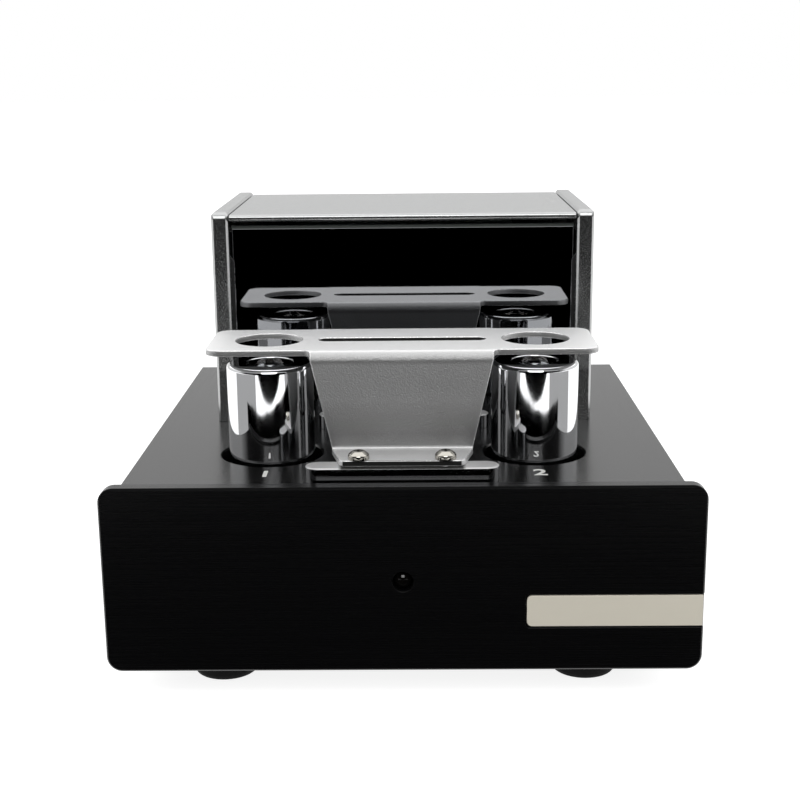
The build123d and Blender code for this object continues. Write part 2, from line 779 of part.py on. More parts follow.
# ---- guard -----------------------------------------------------------------------------
def tube_guard():
    t = guard_sheet
    web = web_face_offset - t / 2
    mid_top = guard_z - t / 2
    mid_foot = foot_top_z - t / 2
    path = [
        (-foot_reach, mid_foot), (-web, mid_foot), (-web, mid_top), (web, mid_top),
        (web, mid_foot), (foot_reach, mid_foot),
    ]
    bends = [guard_foot_bend, guard_bend, guard_bend, guard_foot_bend]
    strip = across(bent_outline(path, t, bends), -guard_length / 2, guard_length / 2)
    strip &= along(web_front_view(), -guard_length, guard_length)
    strip &= Pos(0, 0, foot_top_z - 2 * t) * extrude(guard_plan_view(), guard_z)
    strip = fillet(foot_corner_edges(strip), guard_foot_radius)
    plate = extrude(RectangleRounded(guard_length, guard_depth, guard_corner_radius), t)
    guard = strip + Pos(0, 0, guard_z - t) * plate
    for side in (-1, 1):
        guard -= upright(guard_hole_diameter, side * tube_x, 0, guard_z - t - 1, guard_z + 1)
    slot = extrude(SlotOverall(guard_slot_length, guard_slot_width), t + 2)
    guard -= Pos(0, 0, guard_z - t - 1) * slot
    for x, y in guard_screw_points():
        guard -= upright(m3_diameter + 2 * m3_through, x, y - row_y, deck_top_z, foot_top_z + 1)
    return Pos(0, row_y, 0) * guard


def web_front_view():
    """A web that tapers towards its feet, wider where it runs into the plate."""
    top = guard_z + 1
    root = guard_z - 1.3 * guard_sheet
    low = foot_top_z - 2 * guard_sheet
    a, b = web_top_width / 2, web_bottom_width / 2
    wide = a + 2 * web_root_radius
    points = [
        (0, low), (b, low), (b, foot_top_z), (a, root), (wide, root), (wide, top), (0, top)
    ]
    right = Polyline(*points)
    return make_face(right + mirror(right, Plane.YZ))


def guard_plan_view():
    """Feet that taper towards their ends, and a rounded root where a web meets the plate."""
    a, b = web_top_width / 2, web_bottom_width / 2
    c = guard_foot_end_width / 2
    bend = web_face_offset + guard_foot_bend
    edge = guard_depth / 2
    wide = a + 2 * web_root_radius
    quarter = Polyline((0, foot_reach), (c, foot_reach), (b, bend), (a, bend))
    quarter += FilletPolyline((a, bend), (a, edge), (wide, edge), radius=web_root_radius)
    quarter += Line((wide, edge), (wide, 0))
    half = quarter + mirror(quarter, Plane.XZ)
    return make_face(half + mirror(half, Plane.YZ))


def foot_corner_edges(strip):
    """The four upright edges at the ends of the feet."""
    return [
        e for e in strip.edges().filter_by(Axis.Z)
        if abs(abs(e.center().Y) - foot_reach) < 0.1
    ]


def spacer_bar(side):
    y = row_y + side * spacer_offset
    bar = extrude(SlotOverall(spacer_length, spacer_width), spacer_height)
    bar = chamfer(bar.faces().sort_by(Axis.Z)[-1].edges(), 0.3)
    bar = Pos(0, y, deck_top_z) * bar
    for x, sy in guard_screw_points():
        bar -= upright(m3_diameter + 2 * m3_through, x, sy, deck_top_z - 1, foot_top_z)
    return bar


def guard_screws():
    screw = pan_screw(guard_sheet + spacer_height + deck_thickness + guard_screw_proud)
    return group(Pos(x, y, foot_top_z) * screw for x, y in guard_screw_points())


# ---- transformer cover -----------------------------------------------------------------
def cover_side(side):
    x0, x1 = sorted((side * cover_inner, side * cover_width / 2))
    plate = block(x0, x1, cover_y, cover_rear_y, deck_top_z, cover_z)
    top = plate.edges().filter_by(Axis.X).group_by(Axis.Z)[-1]
    plate = fillet(top, cover_side_radius)
    lengthwise_edges = plate.edges().filter_by(Axis.Y).group_by(Axis.Z)[-1]
    plate = chamfer(lengthwise_edges, cover_side_bevel)
    for x, y in cover_screw_points():
        depth = cover_screw_bite + 1
        plate -= upright(m3_diameter + 2 * thread_gap, x, y, deck_top_z - 1, deck_top_z + depth)
    return plate


def cover_sheet_piece():
    """One folded sheet: the top, the rear wall with its vents and a foot flange."""
    t = cover_sheet
    y0, y1 = cover_y, cover_rear_y - t / 2
    z = cover_sheet_z - t / 2
    low = deck_top_z + t / 2
    path = [(y0, z), (y1, z), (y1, low), (y1 - cover_flange, low)]
    half = cover_inner - cover_sheet_gap
    piece = across(bent_outline(path, t, [cover_sheet_bend] * 2), -half, half)
    lip = piece.faces().sort_by(Axis.Y)[0].edges().filter_by(Axis.X)
    piece = fillet(lip, t * 0.45)
    middle = (deck_top_z + cover_sheet_z) / 2
    slot = Rot(90, 0, 0) * extrude(
        SlotOverall(rear_vent_height, rear_vent_width, rotation=90), t + 4
    )
    first = -(rear_vent_count - 1) / 2 * rear_vent_pitch
    for i in range(rear_vent_count):
        piece -= Pos(first + i * rear_vent_pitch, cover_rear_y + 2, middle) * slot
    return piece


def cover_window():
    half = cover_inner - window_side_gap
    pane = block(-half, half, window_y, window_y + window_thickness, deck_top_z, window_top_z)
    front = pane.faces().sort_by(Axis.Y)[0].edges()
    top = front.sort_by(Axis.Z)[-1]
    pane = chamfer(top, window_top_bevel)
    sides = pane.faces().sort_by(Axis.Y)[0].edges().filter_by(Axis.Z)
    return chamfer(sides, window_bevel)


def window_brackets():
    """Angle strips behind the window, and a narrow strip before each of its sides."""
    t = bracket_sheet
    y = window_y + window_thickness + t / 2
    solids = []
    for side in (-1, 1):
        x = side * (cover_inner - t / 2)
        path = [(side * (cover_inner - bracket_leg), y), (x, y), (x, y + bracket_leg)]
        outline = bent_outline(path, t, [bracket_bend])
        angle = extrude(outline, window_top_z - deck_top_z - bracket_top_gap)
        solids.append(Pos(0, 0, deck_top_z) * angle)
        outer, inner = side * cover_inner, side * (cover_inner - window_strip_reach)
        top = window_strip_z
        strip = make_face(Polyline(
            (outer, deck_top_z), (inner, deck_top_z), (inner, top - window_strip_cut), (outer, top),
            close=True,
        ))
        solids.append(along(strip, window_y - window_strip_thickness, window_y))
    return group(solids)


def cover_rails():
    """Angle strips that hold the folded sheet to the side plates."""
    t = bracket_sheet
    y0 = window_y + window_thickness + bracket_leg + rail_front_gap
    y1 = cover_rear_y - cover_sheet - rail_rear_gap
    z = cover_sheet_z - cover_sheet - t / 2
    solids = []
    for side in (-1, 1):
        x = side * (cover_inner - t / 2)
        path = [(side * (cover_inner - bracket_leg), z), (x, z), (x, z - bracket_leg)]
        solids.append(along(bent_outline(path, t, [bracket_bend]), y0, y1))
    return group(solids)


def cover_screws():
    screw = Rot(180, 0, 0) * pan_screw(deck_thickness + cover_screw_bite)
    return group(Pos(x, y, deck_z) * screw for x, y in cover_screw_points())


# ---- transformer -----------------------------------------------------------------------
def transformer_core():
    half, stack = core_width / 2, core_stack / 2
    core = block(-half, half, core_y - stack, core_y + stack, core_z, core_z + core_height)
    leg = core_leg / 2
    for side in (-1, 1):
        x0, x1 = sorted((side * leg, side * (half - core_yoke)))
        z0, z1 = core_z + core_yoke, core_z + core_height - core_yoke
        core -= block(x0, x1, core_y - stack - 1, core_y + stack + 1, z0, z1)
    return core


def transformer_bobbin():
    z0, z1 = core_z + core_yoke, core_z + core_height - core_yoke
    half_x = core_width / 2 - core_yoke - 0.2
    half_y = core_stack / 2 + winding_overhang
    leg_x, leg_y = core_leg / 2 + seat_gap, core_stack / 2 + seat_gap
    wall = bobbin_wall
    spool = block(
        -leg_x - wall, leg_x + wall, core_y - leg_y - wall, core_y + leg_y + wall, z0, z1
    )
    for z in (z0, z1 - wall):
        spool += block(-half_x, half_x, core_y - half_y, core_y + half_y, z, z + wall)
    return spool - block(-leg_x, leg_x, core_y - leg_y, core_y + leg_y, z0 - 1, z1 + 1)


def transformer_winding():
    z0 = core_z + core_yoke + bobbin_wall + seat_gap
    z1 = core_z + core_height - core_yoke - bobbin_wall - seat_gap
    half_x = core_width / 2 - core_yoke - 0.2 - winding_slack
    half_y = core_stack / 2 + winding_overhang - winding_slack
    leg_x = core_leg / 2 + bobbin_wall + 2 * seat_gap
    leg_y = core_stack / 2 + bobbin_wall + 2 * seat_gap
    coil = block(-half_x, half_x, core_y - half_y, core_y + half_y, z0, z1)
    coil = fillet(coil.edges().filter_by(Axis.Z), 5)
    return coil - block(-leg_x, leg_x, core_y - leg_y, core_y + leg_y, z0 - 1, z1 + 1)


def transformer_strap():
    """A steel strap over the core with a foot on each side."""
    t = strap_sheet
    x = core_width / 2 + t / 2 + seat_gap
    low = deck_top_z + t / 2
    top = core_z + core_height + t / 2 + seat_gap
    end = core_width / 2 + t + strap_foot
    path = [(-end, low), (-x, low), (-x, top), (x, top), (x, low), (end, low)]
    half = strap_width / 2
    strap = along(bent_outline(path, t, [strap_bend] * 4), core_y - half, core_y + half)
    for sx, sy in strap_screw_points():
        strap -= upright(m3_diameter + 2 * m3_through, sx, sy, deck_top_z - 1, deck_top_z + 3)
    return strap


def transformer_screws():
    screw = pan_screw(strap_sheet + deck_thickness)
    return group(Pos(x, y, deck_top_z + strap_sheet) * screw for x, y in strap_screw_points())


# ---- main board ------------------------------------------------------------------------
def board_screw_points():
    x = board_length / 2 - board_screw_inset
    ys = [board_front_y + board_screw_inset, board_front_y + board_depth - board_screw_inset]
    return [(side * x, y) for y in ys for side in (-1, 1)]


def main_board():
    half = board_length / 2
    y0 = board_front_y
    board = block(-half, half, y0, y0 + board_depth, board_z - board_thickness, board_z)
    for x, y in board_screw_points():
        board -= upright(m3_diameter + 2 * m3_through, x, y, board_z - 4, board_z + 1)
    return board


def board_standoffs():
    z0, z1 = tray_z + sheet, board_z - board_thickness
    solids = []
    for x, y in board_screw_points():
        post = hexagon(standoff_flats, x, y, z0, z1)
        solids.append(post - upright(m3_diameter + 2 * thread_gap, x, y, z0 - 1, z1 + 1))
    return group(solids)


def board_screws():
    screw = pan_screw(board_thickness + board_screw_bite)
    return group(Pos(x, y, board_z) * screw for x, y in board_screw_points())


def filter_capacitors():
    y = board_front_y + board_depth - filter_can_inset
    r, h, groove = filter_can_diameter / 2, filter_can_height, filter_can_groove
    points = [
        (0, 0), (r, 0), (r, 2.4), (r - groove, 3), (r, 3.6), (r, h - 0.8), (r - 0.8, h), (0, h)
    ]
    return group(turned(points, (i - 1.5) * filter_can_pitch, y, board_z) for i in range(4))


def film_capacitors():
    y = row_y + film_row_gap
    half, depth = film_length / 2, film_width / 2
    solids = []
    for i in range(5):
        x = (i - 2) * film_pitch
        body = block(x - half, x + half, y - depth, y + depth, board_z, board_z + film_height)
        solids.append(fillet(body.edges().filter_by(Axis.Z), 1.2))
    return group(solids)


def resistors():
    """Two rows of axial resistors lying on the board."""
    r = resistor_diameter / 2
    body = Rot(0, 90, 0) * Cylinder(r, resistor_length)
    solids = []
    for row in (-1, 1):
        shift = resistor_shift if row < 0 else 0
        for i in range(4):
            x = (i - 1.5) * resistor_pitch + shift
            solids.append(Pos(x, row_y + row * resistor_row_gap, board_z + r) * body)
    return group(solids)


def regulator():
    """A power regulator on its finned heatsink, at the rear right of the board."""
    x, y = board_length / 2 - sink_inset, row_y + sink_row_gap
    z0, z1 = board_z, board_z + sink_height
    half, plate = sink_width / 2, sink_plate / 2
    sink = block(x - half, x + half, y - plate, y + plate, z0, z1)
    for i in range(sink_fin_count):
        fin = x + (i - (sink_fin_count - 1) / 2) * sink_fin_pitch
        sink += block(fin - sink_fin / 2, fin + sink_fin / 2, y, y + sink_fin_length, z0, z1)
    back = y - plate - 0.1
    front = back - regulator_thickness
    half = regulator_width / 2
    low = z0 + regulator_rise
    case = block(x - half, x + half, front, back, low, low + regulator_height)
    legs = []
    for k in (-1, 0, 1):
        leg = x + k * regulator_width / 4
        half = regulator_leg / 2
        legs.append(block(leg - half, leg + half, front + 1.6, front + 2.2, z0, low))
    return group([sink, case, *legs])


# ---- phono jacks -----------------------------------------------------------------------
def jack_shells():
    r, neck = jack_diameter / 2, jack_neck_diameter / 2
    inner = r - jack_wall
    points = [
        (inner, jack_length), (r, jack_length), (r, jack_collar_length),
        (jack_collar_diameter / 2, jack_collar_length), (jack_collar_diameter / 2, 0),
        (neck, 0), (neck, -jack_inside_length), (inner, -jack_inside_length),
    ]
    return group(turned_along_y(points, x, rear_y, z) for x, z in jack_points)


def jack_insulators():
    outer = jack_diameter / 2 - jack_wall - seat_gap
    inner = jack_contact_diameter / 2 + seat_gap
    end = -jack_inside_length - jack_insulator_proud
    mouth = jack_length - jack_insulator_setback
    points = [(inner, mouth), (outer, mouth), (outer, end), (inner, end)]
    return group(turned_along_y(points, x, rear_y, z) for x, z in jack_points)


def jack_contacts():
    outer, bore = jack_contact_diameter / 2, jack_bore_diameter / 2
    step = -jack_inside_length - jack_insulator_proud
    end = step - jack_contact_tail
    mouth = jack_length - jack_contact_setback
    points = [
        (bore, mouth), (outer, mouth), (outer, step), (1.0, step), (1.0, end), (0, end), (0, -2),
        (bore, -2),
    ]
    return group(turned_along_y(points, x, rear_y, z) for x, z in jack_points)


def jack_nuts():
    solids = []
    for x, z in jack_points:
        body = hexagon(jack_nut_flats, 0, 0, 0, jack_nut_height)
        body -= Cylinder(jack_neck_diameter / 2 + seat_gap, 3 * jack_nut_height)
        solids.append(Pos(x, rear_inner_y, z) * Rot(90, 0, 0) * body)
    return group(solids)


# ---- ground post -----------------------------------------------------------------------
def ground_stud():
    r = post_diameter / 2
    collar = post_collar_diameter / 2
    inside = -rear_panel_thickness - post_inside_length
    points = [
        (0, post_stud_reach), (r - 0.4, post_stud_reach), (r, post_stud_reach - 0.4),
        (r, post_collar_length), (collar, post_collar_length), (collar, 0), (r, 0),
        (r, inside), (0, inside),
    ]
    stud = turned_along_y(points, post_x, rear_y, rear_mid_z)
    ring = hexagon(post_nut_flats, 0, 0, 0, post_nut_height)
    ring -= Cylinder(r + seat_gap, 3 * post_nut_height)
    return group([stud, Pos(post_x, rear_inner_y, rear_mid_z) * Rot(90, 0, 0) * ring])


def ground_washer():
    y0 = post_collar_length + post_gap
    inner = post_diameter / 2 + post_running_gap
    outer = post_washer_diameter / 2
    points = [
        (inner, y0), (outer, y0), (outer, y0 + post_washer_length), (inner, y0 + post_washer_length)
    ]
    return turned_along_y(points, post_x, rear_y, rear_mid_z)


def ground_knob():
    y0 = post_collar_length + post_washer_length + 2 * post_gap
    y1 = y0 + knob_length
    r = knob_diameter / 2
    bore = post_diameter / 2 + post_running_gap
    depth = y1 - knob_cap
    points = [
        (bore, y0), (r * 0.8, y0), (r * 0.8, y0 + 1.2), (r, y0 + 1.6), (r, y1 - 0.8),
        (r - 0.8, y1), (0, y1), (0, depth), (bore, depth),
    ]
    knob = turned_along_y(points, 0, 0, 0)
    for i in range(knob_flute_count):
        angle = 2 * pi * i / knob_flute_count
        x, z = r * cos(angle), r * sin(angle)
        knob -= lengthwise(2 * knob_flute_radius, x, z, y0 + 1, y1 + 1)
    return Pos(post_x, rear_y, rear_mid_z) * knob


# ---- mains inlet with fuse drawer ------------------------------------------------------
def inlet_body():
    w, h = inlet_flange_width / 2, inlet_flange_height / 2
    face = rear_y + inlet_flange_thickness
    flange = along(RectangleRounded(2 * w, 2 * h, inlet_flange_radius), rear_y, face)
    w, h = inlet_body_width / 2, inlet_body_height / 2
    body = flange + block(-w, w, rear_y - inlet_body_depth, rear_y + 0.5, -h, h)
    body -= along(cavity_outline(), face - cavity_depth, face + 1)
    w, h = drawer_slot_width / 2, drawer_slot_height / 2
    y0 = face - drawer_slot_depth
    body -= block(-w, w, y0, face + 1, drawer_rise - h, drawer_rise + h)
    for x, z in blade_points():
        bw, bh = blade_width / 2 + seat_gap, blade_height / 2 + seat_gap
        y0, y1 = rear_y - inlet_body_depth - 1, face - cavity_depth + 1
        body -= block(x - bw, x + bw, y0, y1, z - bh, z + bh)
    for side in (-1, 1):
        x = side * inlet_screw_spacing / 2
        body -= lengthwise(m3_diameter + 2 * m3_through, x, 0, rear_y - 1, face + 1)
    return Pos(inlet_x, 0, rear_mid_z) * body


def cavity_outline():
    """The socket's mouth: two lower corners square, two upper ones cut off."""
    w, h, c = cavity_width / 2, cavity_height / 2, cavity_chamfer
    points = [(-w, -h), (w, -h), (w, h - c), (w - c, h), (-w + c, h), (-w, h - c)]
    return Pos(0, -cavity_drop) * make_face(Polyline(*points, close=True))


def blade_points():
    low, high = -cavity_drop - blade_offset, -cavity_drop + blade_offset
    return [(-blade_spacing / 2, low), (blade_spacing / 2, low), (0, high)]


def inlet_blades():
    y0 = rear_y - inlet_body_depth - blade_tail
    y1 = rear_y + inlet_flange_thickness - blade_recess
    bw, bh = blade_width / 2, blade_height / 2
    solids = []
    for x, z in blade_points():
        blade = block(x - bw, x + bw, y0, y1, z - bh, z + bh)
        blade = chamfer(blade.faces().sort_by(Axis.Y)[-1].edges(), 0.5)
        solids.append(Pos(inlet_x, 0, rear_mid_z) * blade)
    return group(solids)


def inlet_screws():
    grip = inlet_flange_thickness + rear_panel_thickness + m3_nut_height
    screw = Rot(-90, 0, 0) * pan_screw(grip + inlet_screw_proud)
    solids = []
    for side in (-1, 1):
        x = inlet_x + side * inlet_screw_spacing / 2
        solids.append(Pos(x, rear_y + inlet_flange_thickness, rear_mid_z) * screw)
        solids.append(Pos(x, rear_inner_y, rear_mid_z) * Rot(90, 0, 0) * nut(0, 0, 0))
    return group(solids)


def fuse_drawer():
    """A small tray with a face, open above for the fuse."""
    face = rear_y + inlet_flange_thickness
    w, h = drawer_slot_width / 2 - drawer_gap, drawer_slot_height / 2 - drawer_gap
    y0 = face - drawer_length
    tray = block(-w, w, y0, face + 0.4, -h, h)
    pocket_y0 = fuse_y() - fuse_diameter / 2 - 0.2
    pocket_y1 = fuse_y() + fuse_diameter / 2 + 0.2
    length = fuse_length / 2 + 0.3
    floor, inside = -h + drawer_wall, w - drawer_wall
    tray -= block(-length, length, pocket_y0, pocket_y1, floor, h + 1)
    tray -= block(-inside, inside, pocket_y1 + 1.2, face - 1.6, floor, h + 1)
    tray -= Pos(0, face + 0.9, h) * Rot(0, 90, 0) * Cylinder(1.4, 8)
    return Pos(inlet_x, 0, rear_mid_z + drawer_rise) * tray


def fuse_y():
    return rear_y + inlet_flange_thickness - drawer_length + drawer_wall + 0.2 + fuse_diameter / 2


def fuse():
    r = fuse_diameter / 2
    z = rear_mid_z + drawer_rise - drawer_slot_height / 2 + drawer_gap + drawer_wall + r + 0.05
    half = fuse_length / 2
    barrel = Rot(0, 90, 0) * Cylinder(r - 0.2, fuse_length - 1)
    for side in (-1, 1):
        cap = Rot(0, 90, 0) * Cylinder(r, fuse_cap_length)
        barrel += Pos(side * (half - fuse_cap_length / 2), 0, 0) * cap
    return Pos(inlet_x, fuse_y(), z) * barrel


# ---- power switch ----------------------------------------------------------------------
def switch_frame():
    face = rear_y + switch_flange_thickness
    flange = along(
        RectangleRounded(switch_flange_width, switch_flange_height, 1.0), rear_y, face
    )
    w, h = switch_body_width / 2, switch_body_height / 2
    frame = flange + block(-w, w, rear_y - switch_body_depth, rear_y + 0.5, -h, h)
    w, h = rocker_width / 2 + rocker_gap / 2, rocker_height / 2 + rocker_gap
    frame -= block(-w, w, face - rocker_depth - 1.5, face + 1, -h, h)
    pivot_y = face - rocker_pivot_depth
    for side in (-1, 1):
        x0, x1 = sorted((side * (w - 1), side * (w + 0.9)))
        socket = Rot(0, 90, 0) * Cylinder(0.75, x1 - x0)
        frame -= Pos((x0 + x1) / 2, pivot_y, 0) * socket
    return Pos(switch_x, 0, rear_mid_z) * frame


def power_rocker():
    """A shallow V with rounded ends, drawn with its upper half pressed in."""
    h = rocker_height / 2
    crown = rocker_crown
    dip = crown - h * tan(radians(2 * rocker_tilt)) * 0.35
    half_chord = h - 0.4
    points = [
        (crown, half_chord), (dip, 0), (crown, -half_chord), (-1.2, -h + 0.6), (-4.4, -2.2),
        (-4.4, 2.2), (-1.2, h - 0.6),
    ]
    outline = make_face(Polyline(*points, close=True))
    body = across(outline, -rocker_width / 2, rocker_width / 2)
    body = fillet(body.edges().filter_by(Axis.X).sort_by(Axis.Y)[-2:], 0.8)
    for side in (-1, 1):
        reach = rocker_width / 2 + rocker_gap / 2 + 0.6
        x0, x1 = sorted((side * (rocker_width / 2 - 0.5), side * reach))
        body += Pos((x0 + x1) / 2, 0, 0) * Rot(0, 90, 0) * Cylinder(0.68, x1 - x0)
    pivot_y = rear_y + switch_flange_thickness - rocker_pivot_depth
    return Pos(switch_x, pivot_y, rear_mid_z) * Rot(rocker_tilt, 0, 0) * body


def switch_terminals():
    y1 = rear_y - switch_body_depth
    w, t = terminal_width / 2, terminal_thickness / 2
    solids = []
    for k in (-1, 0, 1):
        z = k * terminal_pitch
        solids.append(block(-w, w, y1 - terminal_length, y1, z - t, z + t))
    return Pos(switch_x, 0, rear_mid_z) * group(solids)


# ---- all nodes -------------------------------------------------------------------------
def nodes():
    made = {
        "front_panel": front_panel(),
        "nameplate": nameplate(),
        "power_led": power_led(),
        "led_holder": led_holder(),
        "chassis_tray": chassis_tray(),
        "deck_plate": deck_plate(),
        "rear_panel": rear_panel(),
        "rubber_feet": rubber_feet(),
        "foot_screws": foot_screws(),
        "deck_screws": deck_screws(),
        "rear_panel_screws": rear_panel_screws(),
        "front_panel_screws": front_panel_screws(),
        "tube_guard": tube_guard(),
        "front_spacer_bar": spacer_bar(-1),
        "rear_spacer_bar": spacer_bar(1),
        "guard_screws": guard_screws(),
        "cover_left_side": cover_side(-1),
        "cover_right_side": cover_side(1),
        "cover_sheet": cover_sheet_piece(),
        "cover_window": cover_window(),
        "window_brackets": window_brackets(),
        "cover_rails": cover_rails(),
        "cover_screws": cover_screws(),
        "transformer_core": transformer_core(),
        "transformer_bobbin": transformer_bobbin(),
        "transformer_winding": transformer_winding(),
        "transformer_strap": transformer_strap(),
        "transformer_screws": transformer_screws(),
        "main_board": main_board(),
        "board_standoffs": board_standoffs(),
        "board_screws": board_screws(),
        "filter_capacitors": filter_capacitors(),
        "film_capacitors": film_capacitors(),
        "resistors": resistors(),
        "regulator": regulator(),
        "jack_shells": jack_shells(),
        "jack_insulators": jack_insulators(),
        "jack_contacts": jack_contacts(),
        "jack_nuts": jack_nuts(),
        "ground_stud": ground_stud(),
        "ground_washer": ground_washer(),
        "ground_knob": ground_knob(),
        "inlet_body": inlet_body(),
        "inlet_blades": inlet_blades(),
        "inlet_screws": inlet_screws(),
        "fuse_drawer": fuse_drawer(),
        "fuse": fuse(),
        "switch_frame": switch_frame(),
        "power_rocker": power_rocker(),
        "switch_terminals": switch_terminals(),
    }
    for name, side in (("left", -1), ("right", 1)):
        made[name + "_tube_socket"] = tube_socket(side)
        made[name + "_tube_base"] = tube_base(side)
        made[name + "_tube_glass"] = tube_glass(side)
        made[name + "_tube_elements"] = tube_elements(side)
        made[name + "_tube_shield"] = tube_shield(side)
    return made


os.makedirs("parts", exist_ok=True)
for node_name, shape in nodes().items():
    export_step(shape, f"parts/{node_name}.step")
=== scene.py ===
"""Tube phono preamp: finishes, turned and moulded pieces, stage and camera round its CAD frame.

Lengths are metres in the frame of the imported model: +X to the right seen from the front,
+Y to the rear, +Z up, the floor at Z = 0. Outlines, tables and the operators' own sizes are in
millimetres, unless they say otherwise.
"""

from math import cos, pi, radians, sin, tau

import bpy
from bpy.props import FloatProperty, IntProperty, PointerProperty
from mathutils import Matrix, Vector


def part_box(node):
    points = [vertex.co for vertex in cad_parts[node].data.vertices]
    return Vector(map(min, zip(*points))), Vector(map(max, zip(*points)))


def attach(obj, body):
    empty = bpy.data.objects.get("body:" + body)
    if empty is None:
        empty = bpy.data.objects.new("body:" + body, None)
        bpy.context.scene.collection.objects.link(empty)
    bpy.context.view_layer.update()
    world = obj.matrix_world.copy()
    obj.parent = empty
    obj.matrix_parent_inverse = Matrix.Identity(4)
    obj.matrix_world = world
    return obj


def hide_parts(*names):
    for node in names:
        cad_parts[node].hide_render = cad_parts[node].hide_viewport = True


bl_info = {
    "name": "Tube phono preamp",
    "version": (1, 0, 0),
    "blender": (4, 5, 0),
    "location": "View3D > Sidebar > Preamp",
    "description": "Models the turned pieces and finishes of a compact tube phono preamp",
    "category": "Object",
}

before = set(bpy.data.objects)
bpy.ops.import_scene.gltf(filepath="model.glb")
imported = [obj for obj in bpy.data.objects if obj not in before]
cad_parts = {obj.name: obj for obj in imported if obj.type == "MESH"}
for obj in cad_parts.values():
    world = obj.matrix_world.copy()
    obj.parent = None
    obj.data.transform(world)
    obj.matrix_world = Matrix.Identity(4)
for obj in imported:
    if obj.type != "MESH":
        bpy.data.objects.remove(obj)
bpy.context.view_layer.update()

MM = 0.001
GUARD_SHEET = 1.6 * MM
MERGE_DISTANCE = 1e-6
ROUNDED = radians(28)  # an edge sharper than this is rounded
CREASED = radians(32)  # an edge sharper than this stays sharp in the shading
NOISE_RANGE = (0.3, 0.7)  # grain seldom leaves this range
LEFT_AND_RIGHT = ("left", "right")


# ---- colours and shader nodes ----------------------------------------------------------
def linear(code):
    """An sRGB hex colour as linear red, green, blue and alpha."""
    parts = [int(code[i:i + 2], 16) / 255 for i in (1, 3, 5)]
    return (*(p / 12.92 if p <= 0.04045 else ((p + 0.055) / 1.055) ** 2.4 for p in parts), 1.0)


def feed(tree, target, inputs):
    """Links an input that is given as a socket, and sets any other to its value."""
    for name, value in inputs.items():
        if isinstance(value, bpy.types.NodeSocket):
            tree.links.new(value, target.inputs[name])
        else:
            target.inputs[name].default_value = value


def node(tree, kind, inputs, **settings):
    """Adds a node with its settings, values and links."""
    made = tree.nodes.new(kind)
    for name, value in settings.items():
        setattr(made, name, value)
    feed(tree, made, inputs)
    return made


def emptied(owner):
    """The node tree of a new material or world, without the nodes it starts with."""
    owner.use_nodes = True
    owner.node_tree.nodes.clear()
    return owner.node_tree


def finish(name, inputs):
    """A new material with one Principled shader, whose constants are on its own sockets."""
    tree = emptied(bpy.data.materials.new(name))
    shader = node(tree, "ShaderNodeBsdfPrincipled", inputs)
    node(tree, "ShaderNodeOutputMaterial", {"Surface": shader.outputs["BSDF"]})
    return tree, shader


def grain(tree, step, detail=2.0):
    """Noise that is about as coarse as step millimetres along X, Y and Z."""
    place = node(tree, "ShaderNodeTexCoord", {})
    scale = [1 / (s * MM) for s in step]
    scaled = node(tree, "ShaderNodeMapping", {"Vector": place.outputs["Object"], "Scale": scale})
    inputs = {"Vector": scaled.outputs["Vector"], "Scale": 1.0, "Detail": detail, "Roughness": 0.6}
    return node(tree, "ShaderNodeTexNoise", inputs).outputs["Fac"]


def textured(tree, shader, height, roughness, depth):
    """Gives a shader uneven gloss and a relief of depth millimetres from one pattern."""
    gloss = node(tree, "ShaderNodeMapRange", {
        "Value": height, "From Min": NOISE_RANGE[0], "From Max": NOISE_RANGE[1],
        "To Min": roughness[0], "To Max": roughness[1],
    })
    relief = node(tree, "ShaderNodeBump", {"Height": height, "Distance": depth * MM})
    feed(tree, shader, {"Roughness": gloss.outputs["Result"], "Normal": relief.outputs["Normal"]})


# ---- finishes --------------------------------------------------------------------------
METAL = {"Metallic": 1.0}

